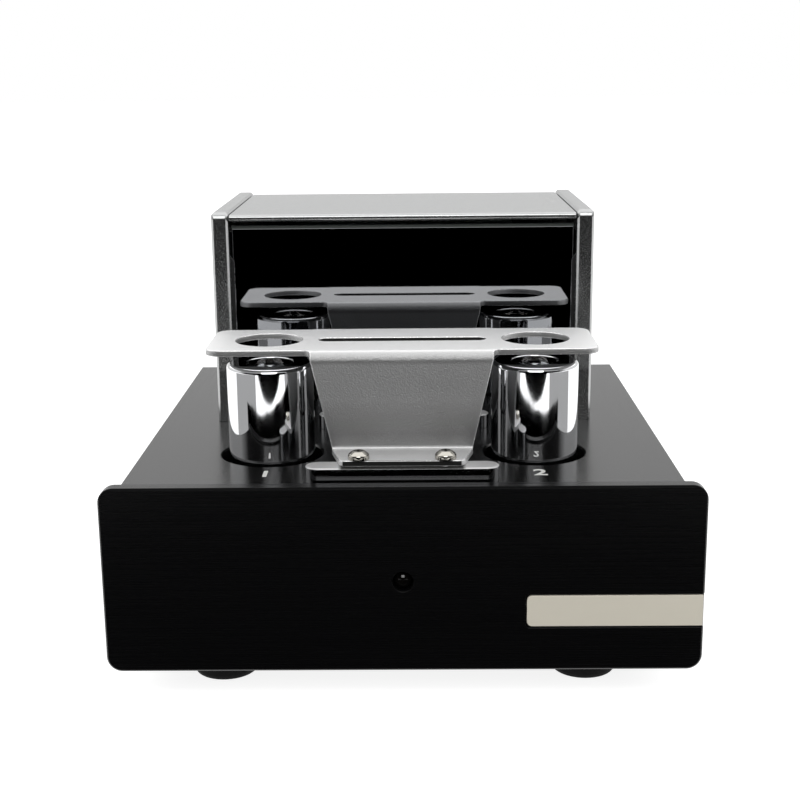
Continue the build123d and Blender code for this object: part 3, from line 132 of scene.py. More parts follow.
# Materials of one colour: the colour, the shader's other constants, the size of the grain along
# X, Y and Z, the least and the most roughness, the depth of the relief, and the grain's detail
# where it isn't 2
PLAIN_FINISHES = {
    # Aluminium plate, line-brushed along its length, then anodised and dyed black: almost
    # black, with streaks that only show in its gloss
    "black_anodised_brushed_across": (
        "#0b0b0c", {"Specular IOR Level": 0.3}, (40, 0.3, 0.3), (0.22, 0.34), 0.012, 4.0,
    ),
    # The edge of the black plate, cut after the dyeing and anodised clear: a thin pale line
    "clear_anodised_cut_edge": ("#8a8b8d", METAL, (6, 0.3, 0.3), (0.2, 0.32), 0.004),
    # The panel's broken front edge, dyed with the rest, and painted blacker and duller: painted
    # shade where the lamp would light it
    "black_anodised_broken_edge": (
        "#050506", {"Specular IOR Level": 0.05}, [1] * 3, (0.4, 0.55), 0.004,
    ),
    # The deck's plate, brushed from front to rear and left glossier: it turns grey where it
    # mirrors a pale room at a flat angle
    "black_anodised_brushed_lengthwise": (
        "#0b0b0b", {"IOR": 1.55}, (0.3, 30, 0.3), (0.16, 0.26), 0.006, 4.0,
    ),
    # Steel sheet with black powder coat: matt, with a fine pebble
    "black_powder_coat": ("#101011", {}, [0.35] * 3, (0.5, 0.65), 0.03),
    # The guard's lacquer on its rounded rims: smoother, so that they catch the lamp, and paler as
    # a painted highlight
    "silver_lacquer_rim": ("#f0f0f0", {"Metallic": 0.55}, [0.5] * 3, (0.2, 0.3), 0.004),
    # Dark, dull sheared steel on the walls of the guard's slot and on the end faces of its feet:
    # painted shade
    "oiled_sheared_steel": ("#242423", {"Metallic": 0.3}, (0.3, 0.3, 2), (0.45, 0.6), 0.01),
    # Aluminium, bead blasted and clear anodised: a soft metallic gloss with hardly any grain
    "satin_anodised_aluminium": ("#b2b3b3", METAL, [0.3] * 3, (0.2, 0.3), 0.01, 3.0),
    # Aluminium bar, polished and clear anodised: it mirrors softly, with a fine draw along it
    "polished_anodised_aluminium": ("#b4b5b7", METAL, (14, 0.3, 0.3), (0.05, 0.1), 0.001),
    # Drawn steel, polished and chrome plated: a mirror with a trace of draw marks
    "polished_chrome": ("#e9eaec", METAL, (3, 3, 18), (0.02, 0.06), 0.0012, 1.0),
    # Aluminium strip, satin rolled and anodised champagne: pale, warm and even
    "champagne_anodised_aluminium": (
        "#ece6d6", {"Metallic": 0.05}, (12, 0.2, 0.2), (0.35, 0.5), 0.004, 3.0,
    ),
    # Steel screws with bright nickel plate, tumbled: glossy, with small dings
    "bright_nickel_screw": ("#b5b2aa", METAL, [0.5] * 3, (0.06, 0.14), 0.004),
    # Moulded natural rubber: deep black, dull, with a faint bloom
    "moulded_black_rubber": (
        "#090909", {"Specular IOR Level": 0.2}, [0.6] * 3, (0.6, 0.75), 0.02, 3.0,
    ),
    # Cast acrylic sheet, black through, with a smoked mirror face: it mirrors a quarter of what
    # stands before it, and waves a little, as cast sheet does
    "smoked_mirror_acrylic": ("#8e8f91", METAL, [25] * 3, (0.01, 0.03), 0.0004, 1.0),
    # The sheet's upper edge, sawn and scraped to a bevel: dull, grey and a little green
    "scraped_acrylic_edge": ("#5f6461", {}, (3, 0.3, 0.3), (0.4, 0.55), 0.006),
    # Smoke-tinted epoxy, cast: dark while unlit, with a hard highlight
    "smoked_epoxy": (
        "#0a0908", {"IOR": 1.55, "Coat Weight": 0.5, "Coat Roughness": 0.03},
        [2] * 3, (0.04, 0.09), 0.0008, 1.0,
    ),
    # Glass-filled nylon, moulded black: dull with a fine spark-eroded texture
    "moulded_black_nylon": ("#121213", {}, [0.25] * 3, (0.38, 0.52), 0.012),
    # Stacked silicon steel sheets, half a millimetre each, dipped in varnish: fine dull stripes
    "varnished_laminations": ("#5c5954", {"Metallic": 0.7}, (20, 0.5, 20), (0.3, 0.5), 0.06, 1.0),
    # Yellow polyester tape in overlapping turns over the copper: glossy, with low steps
    "polyester_tape": ("#d9a514", {"Coat Weight": 0.3}, (30, 30, 3), (0.25, 0.4), 0.12, 1.0),
    # Rolled steel strip with bright zinc: a cloudy, bluish gloss
    "zinc_plated_steel": ("#b9bcc0", METAL, (2.5, 0.4, 2.5), (0.28, 0.42), 0.01),
    # Hexagon brass bar, turned and nickelled thinly, so that it stays a little yellow
    "nickelled_brass": ("#cdb98a", METAL, (2, 2, 0.2), (0.2, 0.34), 0.004),
    # Shrink sleeve of dark blue PVC over an aluminium can: tight and glossy
    "pvc_shrink_sleeve": ("#16233f", {}, (6, 6, 1.5), (0.22, 0.34), 0.02),
    # Film capacitor dipped in dark red epoxy: wet-looking and a little lumpy
    "dipped_red_epoxy": ("#8d1d14", {}, [3] * 3, (0.12, 0.22), 0.03, 1.0),
    # Pale blue lacquer over a ceramic rod: an eggshell gloss
    "pale_blue_lacquer": ("#7fa6c4", {}, [1] * 3, (0.3, 0.4), 0.01),
    # Extruded aluminium, black anodised: satin, with die lines along it
    "black_anodised_extrusion": ("#101012", {}, (0.3, 0.3, 12), (0.3, 0.42), 0.015),
    # Turned brass with a flash of gold: warm and bright, with tool marks round it
    "gold_plated_brass": ("#e0b766", METAL, (4, 0.15, 4), (0.12, 0.22), 0.003),
    # Acetal, moulded white: even, with a soft gloss
    "white_acetal": ("#e4e2dc", {}, [0.5] * 3, (0.25, 0.35), 0.004),
    # Acetal, moulded red: even, with a soft gloss
    "red_acetal": ("#a8181a", {}, [0.5] * 3, (0.25, 0.35), 0.004),
    # Turned brass with satin nickel plate: pale, with tool marks round it
    "nickel_plated_brass": ("#c6c1b6", METAL, (1, 0.15, 1), (0.16, 0.3), 0.003),
    # Soda-lime glass, blown: clear, with barely uneven walls
    "blown_clear_glass": (
        "#f4f7f6", {"Transmission Weight": 1.0, "IOR": 1.5}, (9, 9, 14), (0.0, 0.02), 0.004, 1.0,
    ),
    # Nickel sheet, carbonised: a dull dark grey
    "carbonised_nickel": ("#3f3f42", {"Metallic": 0.4}, [0.4] * 3, (0.5, 0.65), 0.015),
    # Split mica: pale, layered and slightly see-through
    "split_mica": ("#d8cfbb", {"Coat Weight": 0.4}, (2.5, 2.5, 0.2), (0.2, 0.4), 0.02),
    # Silk-screened two-part ink: an even off-white film
    "screen_printed_ink": ("#d9d9d6", {}, [0.3] * 3, (0.45, 0.6), 0.003),
}

# How pale the guard's lacquer is painted, by the height above its feet: its dips low on the webs
# and in the bends under the top are painted shade
LACQUER_SHADE_BY_HEIGHT = (
    (0, 0.77), (0.9, 0.27), (3.9, 0.28), (7.9, 0.45), (13, 0.65), (22.4, 0.68), (23.2, 0.5),
    (24.6, 0.42), (25.6, 0.55), (25.95, 0.8),
)

# Where the painted shadow round a foot of the guard ends, from the middle of the bar under it
FOOT_SHADOW_EDGE = (15.5, 16.5)


def one_colour(name, colour, constants, step, roughness, depth, detail=2.0):
    """Makes a material of one colour whose gloss and relief come from one grain."""
    tree, shader = finish(name, {"Base Color": linear(colour), **constants})
    textured(tree, shader, grain(tree, step, detail), roughness, depth)


def textured_lacquer():
    # Steel with silver hammer-fine lacquer: aluminium flake in clear resin, sprayed so that it
    # dries with a dense grit. The grit is drawn a little coarser than it is, so that it shows.
    # Its colour is painted darker low on the webs above the feet and in the bends under the top:
    # painted shade.
    tree, shader = finish("silver_textured_lacquer", {"Metallic": 0.92})
    low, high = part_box("tube_guard")
    foot_top = low.z + GUARD_SHEET
    place = node(tree, "ShaderNodeTexCoord", {})
    part = node(tree, "ShaderNodeSeparateXYZ", {"Vector": place.outputs["Object"]})
    share = node(tree, "ShaderNodeMapRange", {
        "Value": part.outputs["Z"], "From Min": foot_top, "From Max": high.z,
    })
    # Base colour by height, with painted shade low on the webs and in the bends under the top
    shaded_colour = node(tree, "ShaderNodeValToRGB", {"Fac": share.outputs["Result"]})
    stops = shaded_colour.color_ramp.elements
    stops.remove(stops[1])
    for height, level in LACQUER_SHADE_BY_HEIGHT:
        stop = stops.new(height * MM / (high.z - foot_top)) if height else stops[0]
        stop.color = (level, level, level, 1)
    feed(tree, shader, {"Base Color": shaded_colour.outputs["Color"]})
    textured(tree, shader, grain(tree, [0.4] * 3), (0.42, 0.56), 0.1)


def milled_face():
    # The milled upper face of an aluminium bar: pale, with the cutter's fine scroll, and painted
    # dark round the foot that is screwed down on its middle: the foot's painted shadow.
    tree, shader = finish("milled_aluminium_face", {"Metallic": 0.6})
    place = node(tree, "ShaderNodeTexCoord", {})
    along = node(tree, "ShaderNodeSeparateXYZ", {"Vector": place.outputs["Object"]})
    away = node(tree, "ShaderNodeMath", {0: along.outputs["X"]}, operation="ABSOLUTE")
    unshaded = node(tree, "ShaderNodeMapRange", {
        "Value": away.outputs[0], "From Min": FOOT_SHADOW_EDGE[0] * MM, "From Max": FOOT_SHADOW_EDGE[1] * MM,
    })
    # The dark colour round the foot is the foot's painted shadow on the bar
    shaded_colour = node(tree, "ShaderNodeMix", {
        "Factor": unshaded.outputs["Result"], "A": linear("#2a2a29"), "B": linear("#c8c8c8"),
    }, data_type="RGBA")
    feed(tree, shader, {"Base Color": shaded_colour.outputs[2]})
    textured(tree, shader, grain(tree, (0.8, 0.3, 0.3)), (0.42, 0.55), 0.01)


def solder_mask():
    # Glass-fibre board under green solder mask, whose copper tracks stand out faintly.
    tree, shader = finish("green_solder_mask", {"Coat Weight": 0.3, "Coat Roughness": 0.2})
    place = node(tree, "ShaderNodeTexCoord", {})
    tracks = node(tree, "ShaderNodeTexBrick", {
        "Vector": place.outputs["Object"], "Scale": 1.0, "Color1": linear("#0f4a26"),
        "Color2": linear("#0c4020"), "Mortar": linear("#1d6b38"), "Mortar Size": 0.5 * MM,
        "Brick Width": 9 * MM, "Row Height": 4 * MM,
    })
    feed(tree, shader, {"Base Color": tracks.outputs["Color"]})
    textured(tree, shader, grain(tree, [0.8] * 3), (0.3, 0.4), 0.005)


def glazed_steatite():
    # Glazed steatite, off-white with fine specks.
    tree, shader = finish("glazed_steatite", {"Coat Weight": 0.6, "Coat Roughness": 0.05})
    specks = node(tree, "ShaderNodeMix", {
        "Factor": grain(tree, [0.7] * 3, 4.0),
        "A": linear("#e9e5d8"), "B": linear("#cfc9ba"),
    }, data_type="RGBA")
    feed(tree, shader, {"Base Color": specks.outputs[2]})
    textured(tree, shader, grain(tree, [1.5] * 3), (0.2, 0.3), 0.01)


def getter_flash():
    # Barium flashed onto the inside of the glass: a dark mirror with brown thin edges.
    tree, shader = finish("barium_getter_flash", METAL)
    tint = node(tree, "ShaderNodeMix", {
        "Factor": grain(tree, [5] * 3, 1.0), "A": linear("#77706c"), "B": linear("#45362e"),
    }, data_type="RGBA")
    feed(tree, shader, {"Base Color": tint.outputs[2]})
    textured(tree, shader, grain(tree, [4] * 3, 1.0), (0.06, 0.16), 0.002)


PATTERNED_FINISHES = (textured_lacquer, milled_face, solder_mask, glazed_steatite, getter_flash)

# Material: the CAD nodes that have it, each with the radius of its broken edges
CAD_FINISHES = {
    "black_anodised_brushed_across": {"front_panel": 0.12},
    "black_anodised_brushed_lengthwise": {"deck_plate": 0.12},
    "black_powder_coat": {
        "chassis_tray": 0.15, "rear_panel": 0.12, "window_brackets": 0.1, "cover_rails": 0.1,
    },
    "moulded_black_nylon": {
        "led_holder": 0.1, "transformer_bobbin": 0.1, "inlet_body": 0.2, "fuse_drawer": 0.12,
        "switch_frame": 0.2, "power_rocker": 0.25,
    },
    "silver_textured_lacquer": {"tube_guard": 0.22},
    "polished_anodised_aluminium": {"front_spacer_bar": 0.12, "rear_spacer_bar": 0.12},
    "satin_anodised_aluminium": {
        "cover_left_side": 0.15, "cover_right_side": 0.15, "cover_sheet": 0.12,
    },
    "smoked_mirror_acrylic": {"cover_window": 0.08},
    "varnished_laminations": {"transformer_core": 0.2},
    "polyester_tape": {"transformer_winding": 0.3},
    "zinc_plated_steel": {"transformer_strap": 0.15},
    "green_solder_mask": {"main_board": 0.08},
    "nickelled_brass": {"board_standoffs": 0.1},
    "pvc_shrink_sleeve": {"filter_capacitors": 0.1},
    "dipped_red_epoxy": {"film_capacitors": 0.8},
    "pale_blue_lacquer": {"resistors": 0.4},
    "black_anodised_extrusion": {"regulator": 0.1},
    "gold_plated_brass": {"jack_shells": 0.12, "jack_contacts": 0.06},
    "white_acetal": {"jack_insulators": 0.08},
    "nickel_plated_brass": {
        "jack_nuts": 0.12, "ground_stud": 0.1, "ground_washer": 0.1, "ground_knob": 0.1,
        "inlet_blades": 0.1, "switch_terminals": 0.08,
    },
    "blown_clear_glass": {"fuse": 0.1, "left_tube_base": 0.08, "right_tube_base": 0.08},
    "glazed_steatite": {"left_tube_socket": 0.25, "right_tube_socket": 0.25},
    "carbonised_nickel": {"left_tube_elements": 0.06, "right_tube_elements": 0.06},
}

# CAD node: material of its broken edges, where that differs
# The guard's rims get a paler lacquer: partly a painted highlight
EDGE_FINISHES = {"tube_guard": "silver_lacquer_rim", "window_brackets": "clear_anodised_cut_edge"}


# ---- modelling helpers -----------------------------------------------------------------
def extent(node_name):
    """A node's lowest and highest corners, and the middle between them."""
    low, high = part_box(node_name)
    return low, high, (low + high) / 2


def deselect():
    bpy.ops.object.select_all(action="DESELECT")


def activate(piece):
    """Makes a piece the only selected one, and the active one."""
    deselect()
    piece.select_set(True)
    bpy.context.view_layer.objects.active = piece


def added(operator, **settings):
    """Adds an object with an operator while nothing else is selected."""
    deselect()
    operator(**settings)
    return bpy.context.object


def named(piece, name):
    """Gives a piece and its mesh one name."""
    piece.name = piece.data.name = name
    return piece


def modifier(piece, name, kind, **settings):
    """Gives a piece a live modifier."""
    made = piece.modifiers.new(name, kind)
    for key, value in settings.items():
        setattr(made, key, value)


def modified(piece, kind, **settings):
    """Applies one modifier to a piece."""
    activate(piece)
    modifier(piece, kind.title(), kind, **settings)
    bpy.ops.object.modifier_apply(modifier=kind.title())


def carve(piece, cutter, operation="DIFFERENCE"):
    """Cuts one piece with another and removes the cutter."""
    modified(piece, "BOOLEAN", operation=operation, object=cutter, solver="EXACT")
    bpy.data.objects.remove(cutter)


def joined(pieces, name):
    """Joins pieces into one."""
    activate(pieces[0])
    for piece in pieces[1:]:
        piece.select_set(True)
    bpy.ops.object.join()
    return named(pieces[0], name)


def copied(piece, transform):
    """A copy with its own mesh, moved inside that mesh."""
    twin = piece.copy()
    twin.data = piece.data.copy()
    twin.data.transform(transform)
    bpy.context.scene.collection.objects.link(twin)
    return twin


def turned(name, outline, centre, steps, lengthwise=False):
    """Spins an outline of (radius, height) points about a line through centre.

    The line is upright, or runs to the rear where lengthwise is true.
    """
    piece = named(added(bpy.ops.mesh.primitive_plane_add, size=1.0), name)
    places = [
        Vector((r, h, 0) if lengthwise else (r, 0, h)) * MM + Vector(centre) for r, h in outline
    ]
    bpy.ops.object.mode_set(mode="EDIT")
    bpy.ops.mesh.select_all(action="SELECT")
    bpy.ops.mesh.merge(type="CENTER")
    bpy.ops.transform.translate(value=places[0])
    for start, end in zip(places, places[1:]):
        bpy.ops.mesh.extrude_region_move(TRANSFORM_OT_translate={"value": end - start})
    bpy.ops.mesh.select_all(action="SELECT")
    axis = (0, 1, 0) if lengthwise else (0, 0, 1)
    bpy.ops.mesh.spin(steps=steps, angle=tau, center=centre, axis=axis)
    bpy.ops.mesh.select_all(action="SELECT")
    bpy.ops.mesh.remove_doubles(threshold=MERGE_DISTANCE)
    bpy.ops.mesh.normals_make_consistent(inside=False)
    bpy.ops.object.mode_set(mode="OBJECT")
    bpy.ops.object.shade_smooth_by_angle(angle=CREASED)
    return piece


def arc(centre, radius, start, end, steps):
    """Points on a round stretch of an outline, from one angle to another in degrees."""
    angles = [radians(start + (end - start) * i / steps) for i in range(steps + 1)]
    return [(centre[0] + radius * cos(a), centre[1] + radius * sin(a)) for a in angles]


def bar(size, centre):
    """A rectangular bar with its place in its mesh."""
    piece = added(bpy.ops.mesh.primitive_cube_add, size=1.0)
    scale = Matrix.Diagonal((*[s * MM for s in size], 1))
    piece.data.transform(Matrix.Translation(Vector(centre) * MM) @ scale)
    return piece


def settle(piece, body, slot, material, *replaced):
    """Gives a finished piece its material, the body it rides on and the nodes it stands for."""
    modified(piece, "WEIGHTED_NORMAL", keep_sharp=True)
    piece.data.materials.clear()
    piece.data.materials.append(bpy.data.materials[material])
    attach(piece, body)
    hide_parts(*replaced)


def rows(node_name, inset):
    """The two places on each axis where like things stand, inset in their node's box."""
    low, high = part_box(node_name)
    gap = inset * MM
    return [(low[axis] + gap, high[axis] - gap) for axis in range(3)]


# ---- property groups -------------------------------------------------------------------
class PREAMP_PG_sizes(bpy.types.PropertyGroup):
    """Sizes of the turned pieces that a user may change."""

    head_diameter: FloatProperty(
        name="Screw head", description="Diameter of an M3 pan head", default=5.6 * MM,
        min=4 * MM, unit="LENGTH",
    )
    head_height: FloatProperty(
        name="Head height", description="Height of an M3 pan head", default=2.2 * MM,
        min=1 * MM, unit="LENGTH",
    )
    cross_width: FloatProperty(
        name="Cross width", description="Width across the cross recess", default=3.2 * MM,
        min=1 * MM, unit="LENGTH",
    )
    can_wall: FloatProperty(
        name="Can wall", description="Wall of the tube cans", default=0.5 * MM,
        min=0.2 * MM, unit="LENGTH",
    )
    can_mouth: FloatProperty(
        name="Can mouth", description="Diameter of the opening in a can's roof",
        default=12.8 * MM, min=4 * MM, unit="LENGTH",
    )
    numeral_height: FloatProperty(
        name="Numerals", description="Type size of the numerals printed on the deck",
        default=7.4 * MM, min=1 * MM, unit="LENGTH",
    )
    round_steps: IntProperty(
        name="Round steps", description="Facets round a turned piece", default=96, min=24,
    )


class PREAMP_PG_stage(bpy.types.PropertyGroup):
    """Light and camera settings that a user may change."""

    top_light: FloatProperty(
        name="Top light", description="Power of the lamp overhead", default=34.0, min=0,
        unit="POWER",
    )
    front_light: FloatProperty(
        name="Front light", description="Power of the lamp above the camera", default=4.2, min=0,
        unit="POWER",
    )
    room_light: FloatProperty(
        name="Room light", description="Strength of the pale room all round", default=0.22, min=0,
    )
    focal_length: FloatProperty(
        name="Focal length", description="The camera's lens", default=62.36, min=10,
        unit="CAMERA",
    )


# ---- operators: pieces -----------------------------------------------------------------
class PREAMP_OT_finishes(bpy.types.Operator):
    """Makes every material and finishes the CAD nodes that stay"""

    bl_idname = "preamp.finishes"
    bl_label = "Finishes"

    flat = radians(0.2)  # faces that turn less than this become one
    slot_half = (23, 5)  # half of the guard's slot along X and Y, and a little more
    mica_heights = (9, 32)  # above the socket
    mica_reach = (-0.1, 0.6)  # from those heights

    def execute(self, context):
        for name, look in PLAIN_FINISHES.items():
            one_colour(name, *look)
        for make in PATTERNED_FINISHES:
            make()
        for material, nodes in CAD_FINISHES.items():
            for name, edge in nodes.items():
                self.dress(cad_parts[name], material, edge)
        for name, material in EDGE_FINISHES.items():
            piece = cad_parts[name]
            piece.data.materials.append(bpy.data.materials[material])
            piece.modifiers["Broken edges"].material = 1
        for name, material, chosen in self.second_finishes():
            self.give(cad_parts[name].data, material, chosen)
        return {"FINISHED"}

    def dress(self, piece, material, edge):
        """Merges a node's loose triangles, breaks its edges and gives it a material."""
        piece.data.materials.clear()
        piece.data.materials.append(bpy.data.materials[material])
        smooth = [True] * len(piece.data.polygons)
        piece.data.polygons.foreach_set("use_smooth", smooth)
        modifier(piece, "Merged", "WELD", merge_threshold=MERGE_DISTANCE)
        modifier(
            piece, "Flat faces", "DECIMATE", decimate_type="DISSOLVE", angle_limit=self.flat,
            delimit={"MATERIAL"},
        )
        modifier(
            piece, "Broken edges", "BEVEL", width=edge * MM, segments=2, limit_method="ANGLE",
            angle_limit=ROUNDED, use_clamp_overlap=False, harden_normals=True,
        )
        modifier(piece, "Shading", "WEIGHTED_NORMAL")

    def second_finishes(self):
        """Nodes with a second material, and a test for the faces that have it."""
        jacks_middle = extent("jack_insulators")[2].z
        window_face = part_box("cover_window")[0].y - 0.1 * MM
        socket_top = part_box("left_tube_socket")[1].z
        micas = [socket_top + height * MM for height in self.mica_heights]
        below, above = (reach * MM for reach in self.mica_reach)

        def is_strip_edge(face):
            # The free edge of the strips before the window, which looks to the middle
            inward = face.normal.x * face.center.x < -0.5 * abs(face.center.x)
            return face.center.y < window_face and inward

        def is_mica(face):
            return any(mica + below < face.center.z < mica + above for mica in micas)

        return (
            # Walls of the guard's slot and end faces of its feet: dark steel as painted shade
            ("tube_guard", "oiled_sheared_steel", self.painted_shade_faces()),
            (
                # The panel's front edge is painted blacker: painted shade
                "front_panel", "black_anodised_broken_edge",
                lambda face: face.normal.y < -0.2 and face.normal.z > 0.2,
            ),
            ("jack_insulators", "red_acetal", lambda face: face.center.z < jacks_middle),
            ("front_spacer_bar", "milled_aluminium_face", lambda face: face.normal.z > 0.5),
            ("rear_spacer_bar", "milled_aluminium_face", lambda face: face.normal.z > 0.5),
            ("window_brackets", "clear_anodised_cut_edge", is_strip_edge),
            ("cover_window", "scraped_acrylic_edge", lambda face: face.normal.z > 0.3),
            ("left_tube_elements", "split_mica", is_mica),
            ("right_tube_elements", "split_mica", is_mica),
        )

    def painted_shade_faces(self):
        """A test for the faces in the guard's slot and at the outer ends of its feet, which get
        painted shade.
        """
        low, high, middle = extent("tube_guard")
        reach_x, reach_y = (half * MM for half in self.slot_half)

        def is_painted_shade(face):
            aside, ahead = abs(face.center.x), abs(face.center.y - middle.y)
            slot = face.center.z > high.z - 2 * GUARD_SHEET and aside < reach_x and ahead < reach_y
            foot_end = face.center.z < low.z + GUARD_SHEET and abs(face.normal.y) > 0.9
            return abs(face.normal.z) < 0.3 and (slot or foot_end)

        return is_painted_shade

    def give(self, mesh, material, chosen):
        """Gives another material to the chosen faces."""
        if material not in mesh.materials:
            mesh.materials.append(bpy.data.materials[material])
        index = mesh.materials.find(material)
        for face in mesh.polygons:
            if chosen(face):
                face.material_index = index


class PREAMP_OT_tube_cans(bpy.types.Operator):
    """Models the two drawn cans with their rolled mouths"""

    bl_idname = "preamp.tube_cans"
    bl_label = "Tube cans"

    bead = 0.4
    bead_height = 6.0
    bead_round = 0.8
    shoulder = 1.2
    curl = 0.3
    lip_depth = 1.6
    lip_slant = 0.15
    notch_width = 2.4
    notch_depth = 4.0

    def execute(self, context):
        sizes = context.scene.preamp_sizes
        for side in LEFT_AND_RIGHT:
            node_name = side + "_tube_shield"
            low, high, middle = extent(node_name)
            radius = (high.x - low.x) / 2 / MM - self.bead
            outline = self.outline(radius, (high.z - low.z) / MM, sizes)
            centre = (middle.x, middle.y, low.z)
            can = turned(side + "_can", outline, centre, sizes.round_steps)
            for turn in (45, 135):
                cutter = bar((3 * radius, self.notch_width, 2 * self.notch_depth), (0, 0, 0))
                place = Matrix.Translation(centre) @ Matrix.Rotation(radians(turn), 4, "Z")
                cutter.data.transform(place)
                carve(can, cutter)
            bpy.ops.object.shade_smooth_by_angle(angle=CREASED)
            settle(can, "root", "chromed_steel", "polished_chrome", node_name)
        return {"FINISHED"}

    def outline(self, radius, height, sizes):
        """Up the outer wall, over the shoulder, into the mouth and back down inside."""
        wall = sizes.can_wall / MM
        mouth = sizes.can_mouth / 2 / MM
        bead_middle = (radius + self.bead - self.bead_round, self.bead_height)
        shoulder_middle = (radius - self.shoulder, height - self.shoulder)
        lip = mouth + self.lip_slant
        return [
            (radius - wall, 0), (radius, 0), (radius, self.bead_height - self.bead_round),
            *arc(bead_middle, self.bead_round, -30, 30, 4),
            (radius, self.bead_height + self.bead_round),
            *arc(shoulder_middle, self.shoulder, 0, 90, 8),
            *arc((mouth + self.curl, height - self.curl), self.curl, 90, 200, 8),
            (lip, height - self.lip_depth), (mouth + wall, height - self.lip_depth),
            (lip + wall, height - wall),
            *arc(shoulder_middle, self.shoulder - wall, 90, 0, 4),
            (radius - wall, 0),
        ]


class PREAMP_OT_tubes(bpy.types.Operator):
    """Models the two glass envelopes and their flashed tops"""

    bl_idname = "preamp.tubes"
    bl_label = "Tubes"

    wall = 1.0
    flash_depths = (1.06, 1.14)
    tip_radius = 1.7
    tip_length = 3.0
    dome = 6.4
    dome_steps = 10

    def execute(self, context):
        steps = context.scene.preamp_sizes.round_steps
        for side in LEFT_AND_RIGHT:
            node_name = side + "_tube_glass"
            low, high, middle = extent(node_name)
            centre = (middle.x, middle.y, low.z)
            size = ((high.x - low.x) / 2 / MM, (high.z - low.z) / MM)
            outline = self.shell(self.envelope(*size, 0), self.envelope(*size, self.wall))
            glass = turned(side + "_envelope", outline, centre, steps)
            settle(glass, "root", "tube_glass", "blown_clear_glass", node_name)
            bowl = self.shell(*(self.envelope(*size, depth)[2:] for depth in self.flash_depths))
            flash = turned(side + "_getter_flash", bowl, centre, steps)
            settle(flash, "root", "tube_metal", "barium_getter_flash")
        return {"FINISHED"}

    def shell(self, outer, inner):
        """A closed outline round the stuff between two lines."""
        return [*outer, *reversed(inner), outer[0]]

    def envelope(self, radius, height, depth):
        """Wall, dome and sealed tip, from the base upwards, at a depth inside the glass."""
        r, tip = radius - depth, self.tip_radius
        shoulder = height - self.tip_length - self.dome
        crown = self.dome - depth
        line = [(r, 0)]
        for i in range(self.dome_steps):
            t = pi / 2 * i / self.dome_steps
            line.append((tip + (r - tip) * cos(t), shoulder + crown * sin(t)))
        top = shoulder + crown
        if depth:
            return [*line, (0, top)]
        return [*line, (tip, top), (1.2, top + 1.4), (0.7, height - 0.4), (0, height)]


class PREAMP_OT_feet(bpy.types.Operator):
    """Models the four moulded rubber feet"""

    bl_idname = "preamp.feet"
    bl_label = "Rubber feet"

    radius = 8.8
    taper = 0.3
    upper_round = 0.7
    sole_round = 1.2
    recess_radius = 3.7
    recess_depth = 4.5
    recess_edge = 0.3
    hole_radius = 1.7

    def execute(self, context):
        low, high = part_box("rubber_feet")
        height = (high.z - low.z) / MM
        rim, sole = self.radius - self.upper_round, self.radius - self.taper
        outline = [
            (self.hole_radius, height), (rim, height),
            *arc((rim, height - self.upper_round), self.upper_round, 90, 0, 4),
            (sole + 0.25, 1.3),
            *arc((sole - 1.0, self.sole_round), self.sole_round, 0, -90, 6),
            (self.recess_radius + self.recess_edge, 0), (self.recess_radius, self.recess_edge),
            (self.recess_radius, self.recess_depth), (self.hole_radius, self.recess_depth),
            (self.hole_radius, height),
        ]
        xs, ys, _ = rows("rubber_feet", self.radius)
        feet = [turned("foot", outline, (x, y, 0), 72) for x in xs for y in ys]
        feet = joined(feet, "moulded_feet")
        settle(feet, "root", "black_rubber", "moulded_black_rubber", "rubber_feet")
        return {"FINISHED"}


class PREAMP_OT_nameplate(bpy.types.Operator):
    """Models the bare nameplate, round at its inner end"""

    bl_idname = "preamp.nameplate"
    bl_label = "Nameplate"

    corner = 1.4
    edge = 0.15

    def execute(self, context):
        low, high, middle = extent("nameplate")
        plate = named(bar((high - low) / MM, middle / MM), "bare_nameplate")
        activate(plate)
        bpy.ops.object.mode_set(mode="EDIT")
        bpy.ops.mesh.select_mode(type="EDGE")
        bpy.ops.mesh.select_all(action="DESELECT")
        bpy.ops.object.mode_set(mode="OBJECT")
        vertices = plate.data.vertices
        for edge in plate.data.edges:
            start, end = (vertices[i].co for i in edge.vertices)
            inner = max(start.x, end.x) < middle.x
            edge.select = inner and abs(start.y - end.y) > 0.5 * MM
        bpy.ops.object.mode_set(mode="EDIT")
        bpy.ops.mesh.bevel(offset=self.corner * MM, segments=8)
        bpy.ops.mesh.select_mode(type="VERT")
        bpy.ops.object.mode_set(mode="OBJECT")
        modified(
            plate, "BEVEL", width=self.edge * MM, segments=3, limit_method="ANGLE",
            angle_limit=ROUNDED, use_clamp_overlap=True,
        )
        bpy.ops.object.shade_smooth_by_angle(angle=CREASED)
        settle(plate, "root", "nameplate_metal", "champagne_anodised_aluminium", "nameplate")
        return {"FINISHED"}


class PREAMP_OT_lamp(bpy.types.Operator):
    """Models the unlit power lamp"""

    bl_idname = "preamp.lamp"
    bl_label = "Power lamp"

    dome_radius = 2.5
    flange_radius = 2.9
    flange_depth = 1

    def execute(self, context):
        low, high, middle = extent("power_led")
        length = (high.y - low.y) / MM
        dome, flange = self.dome_radius, self.flange_radius
        outline = [
            *arc((0, dome), dome, -90, 0, 10), (dome, length - self.flange_depth),
            (flange, length - self.flange_depth), (flange, length), (0, length),
        ]
        lamp = turned("lamp_dome", outline, (middle.x, low.y, middle.z), 48, lengthwise=True)
        settle(lamp, "root", "led_lens", "smoked_epoxy", "power_led")
        return {"FINISHED"}


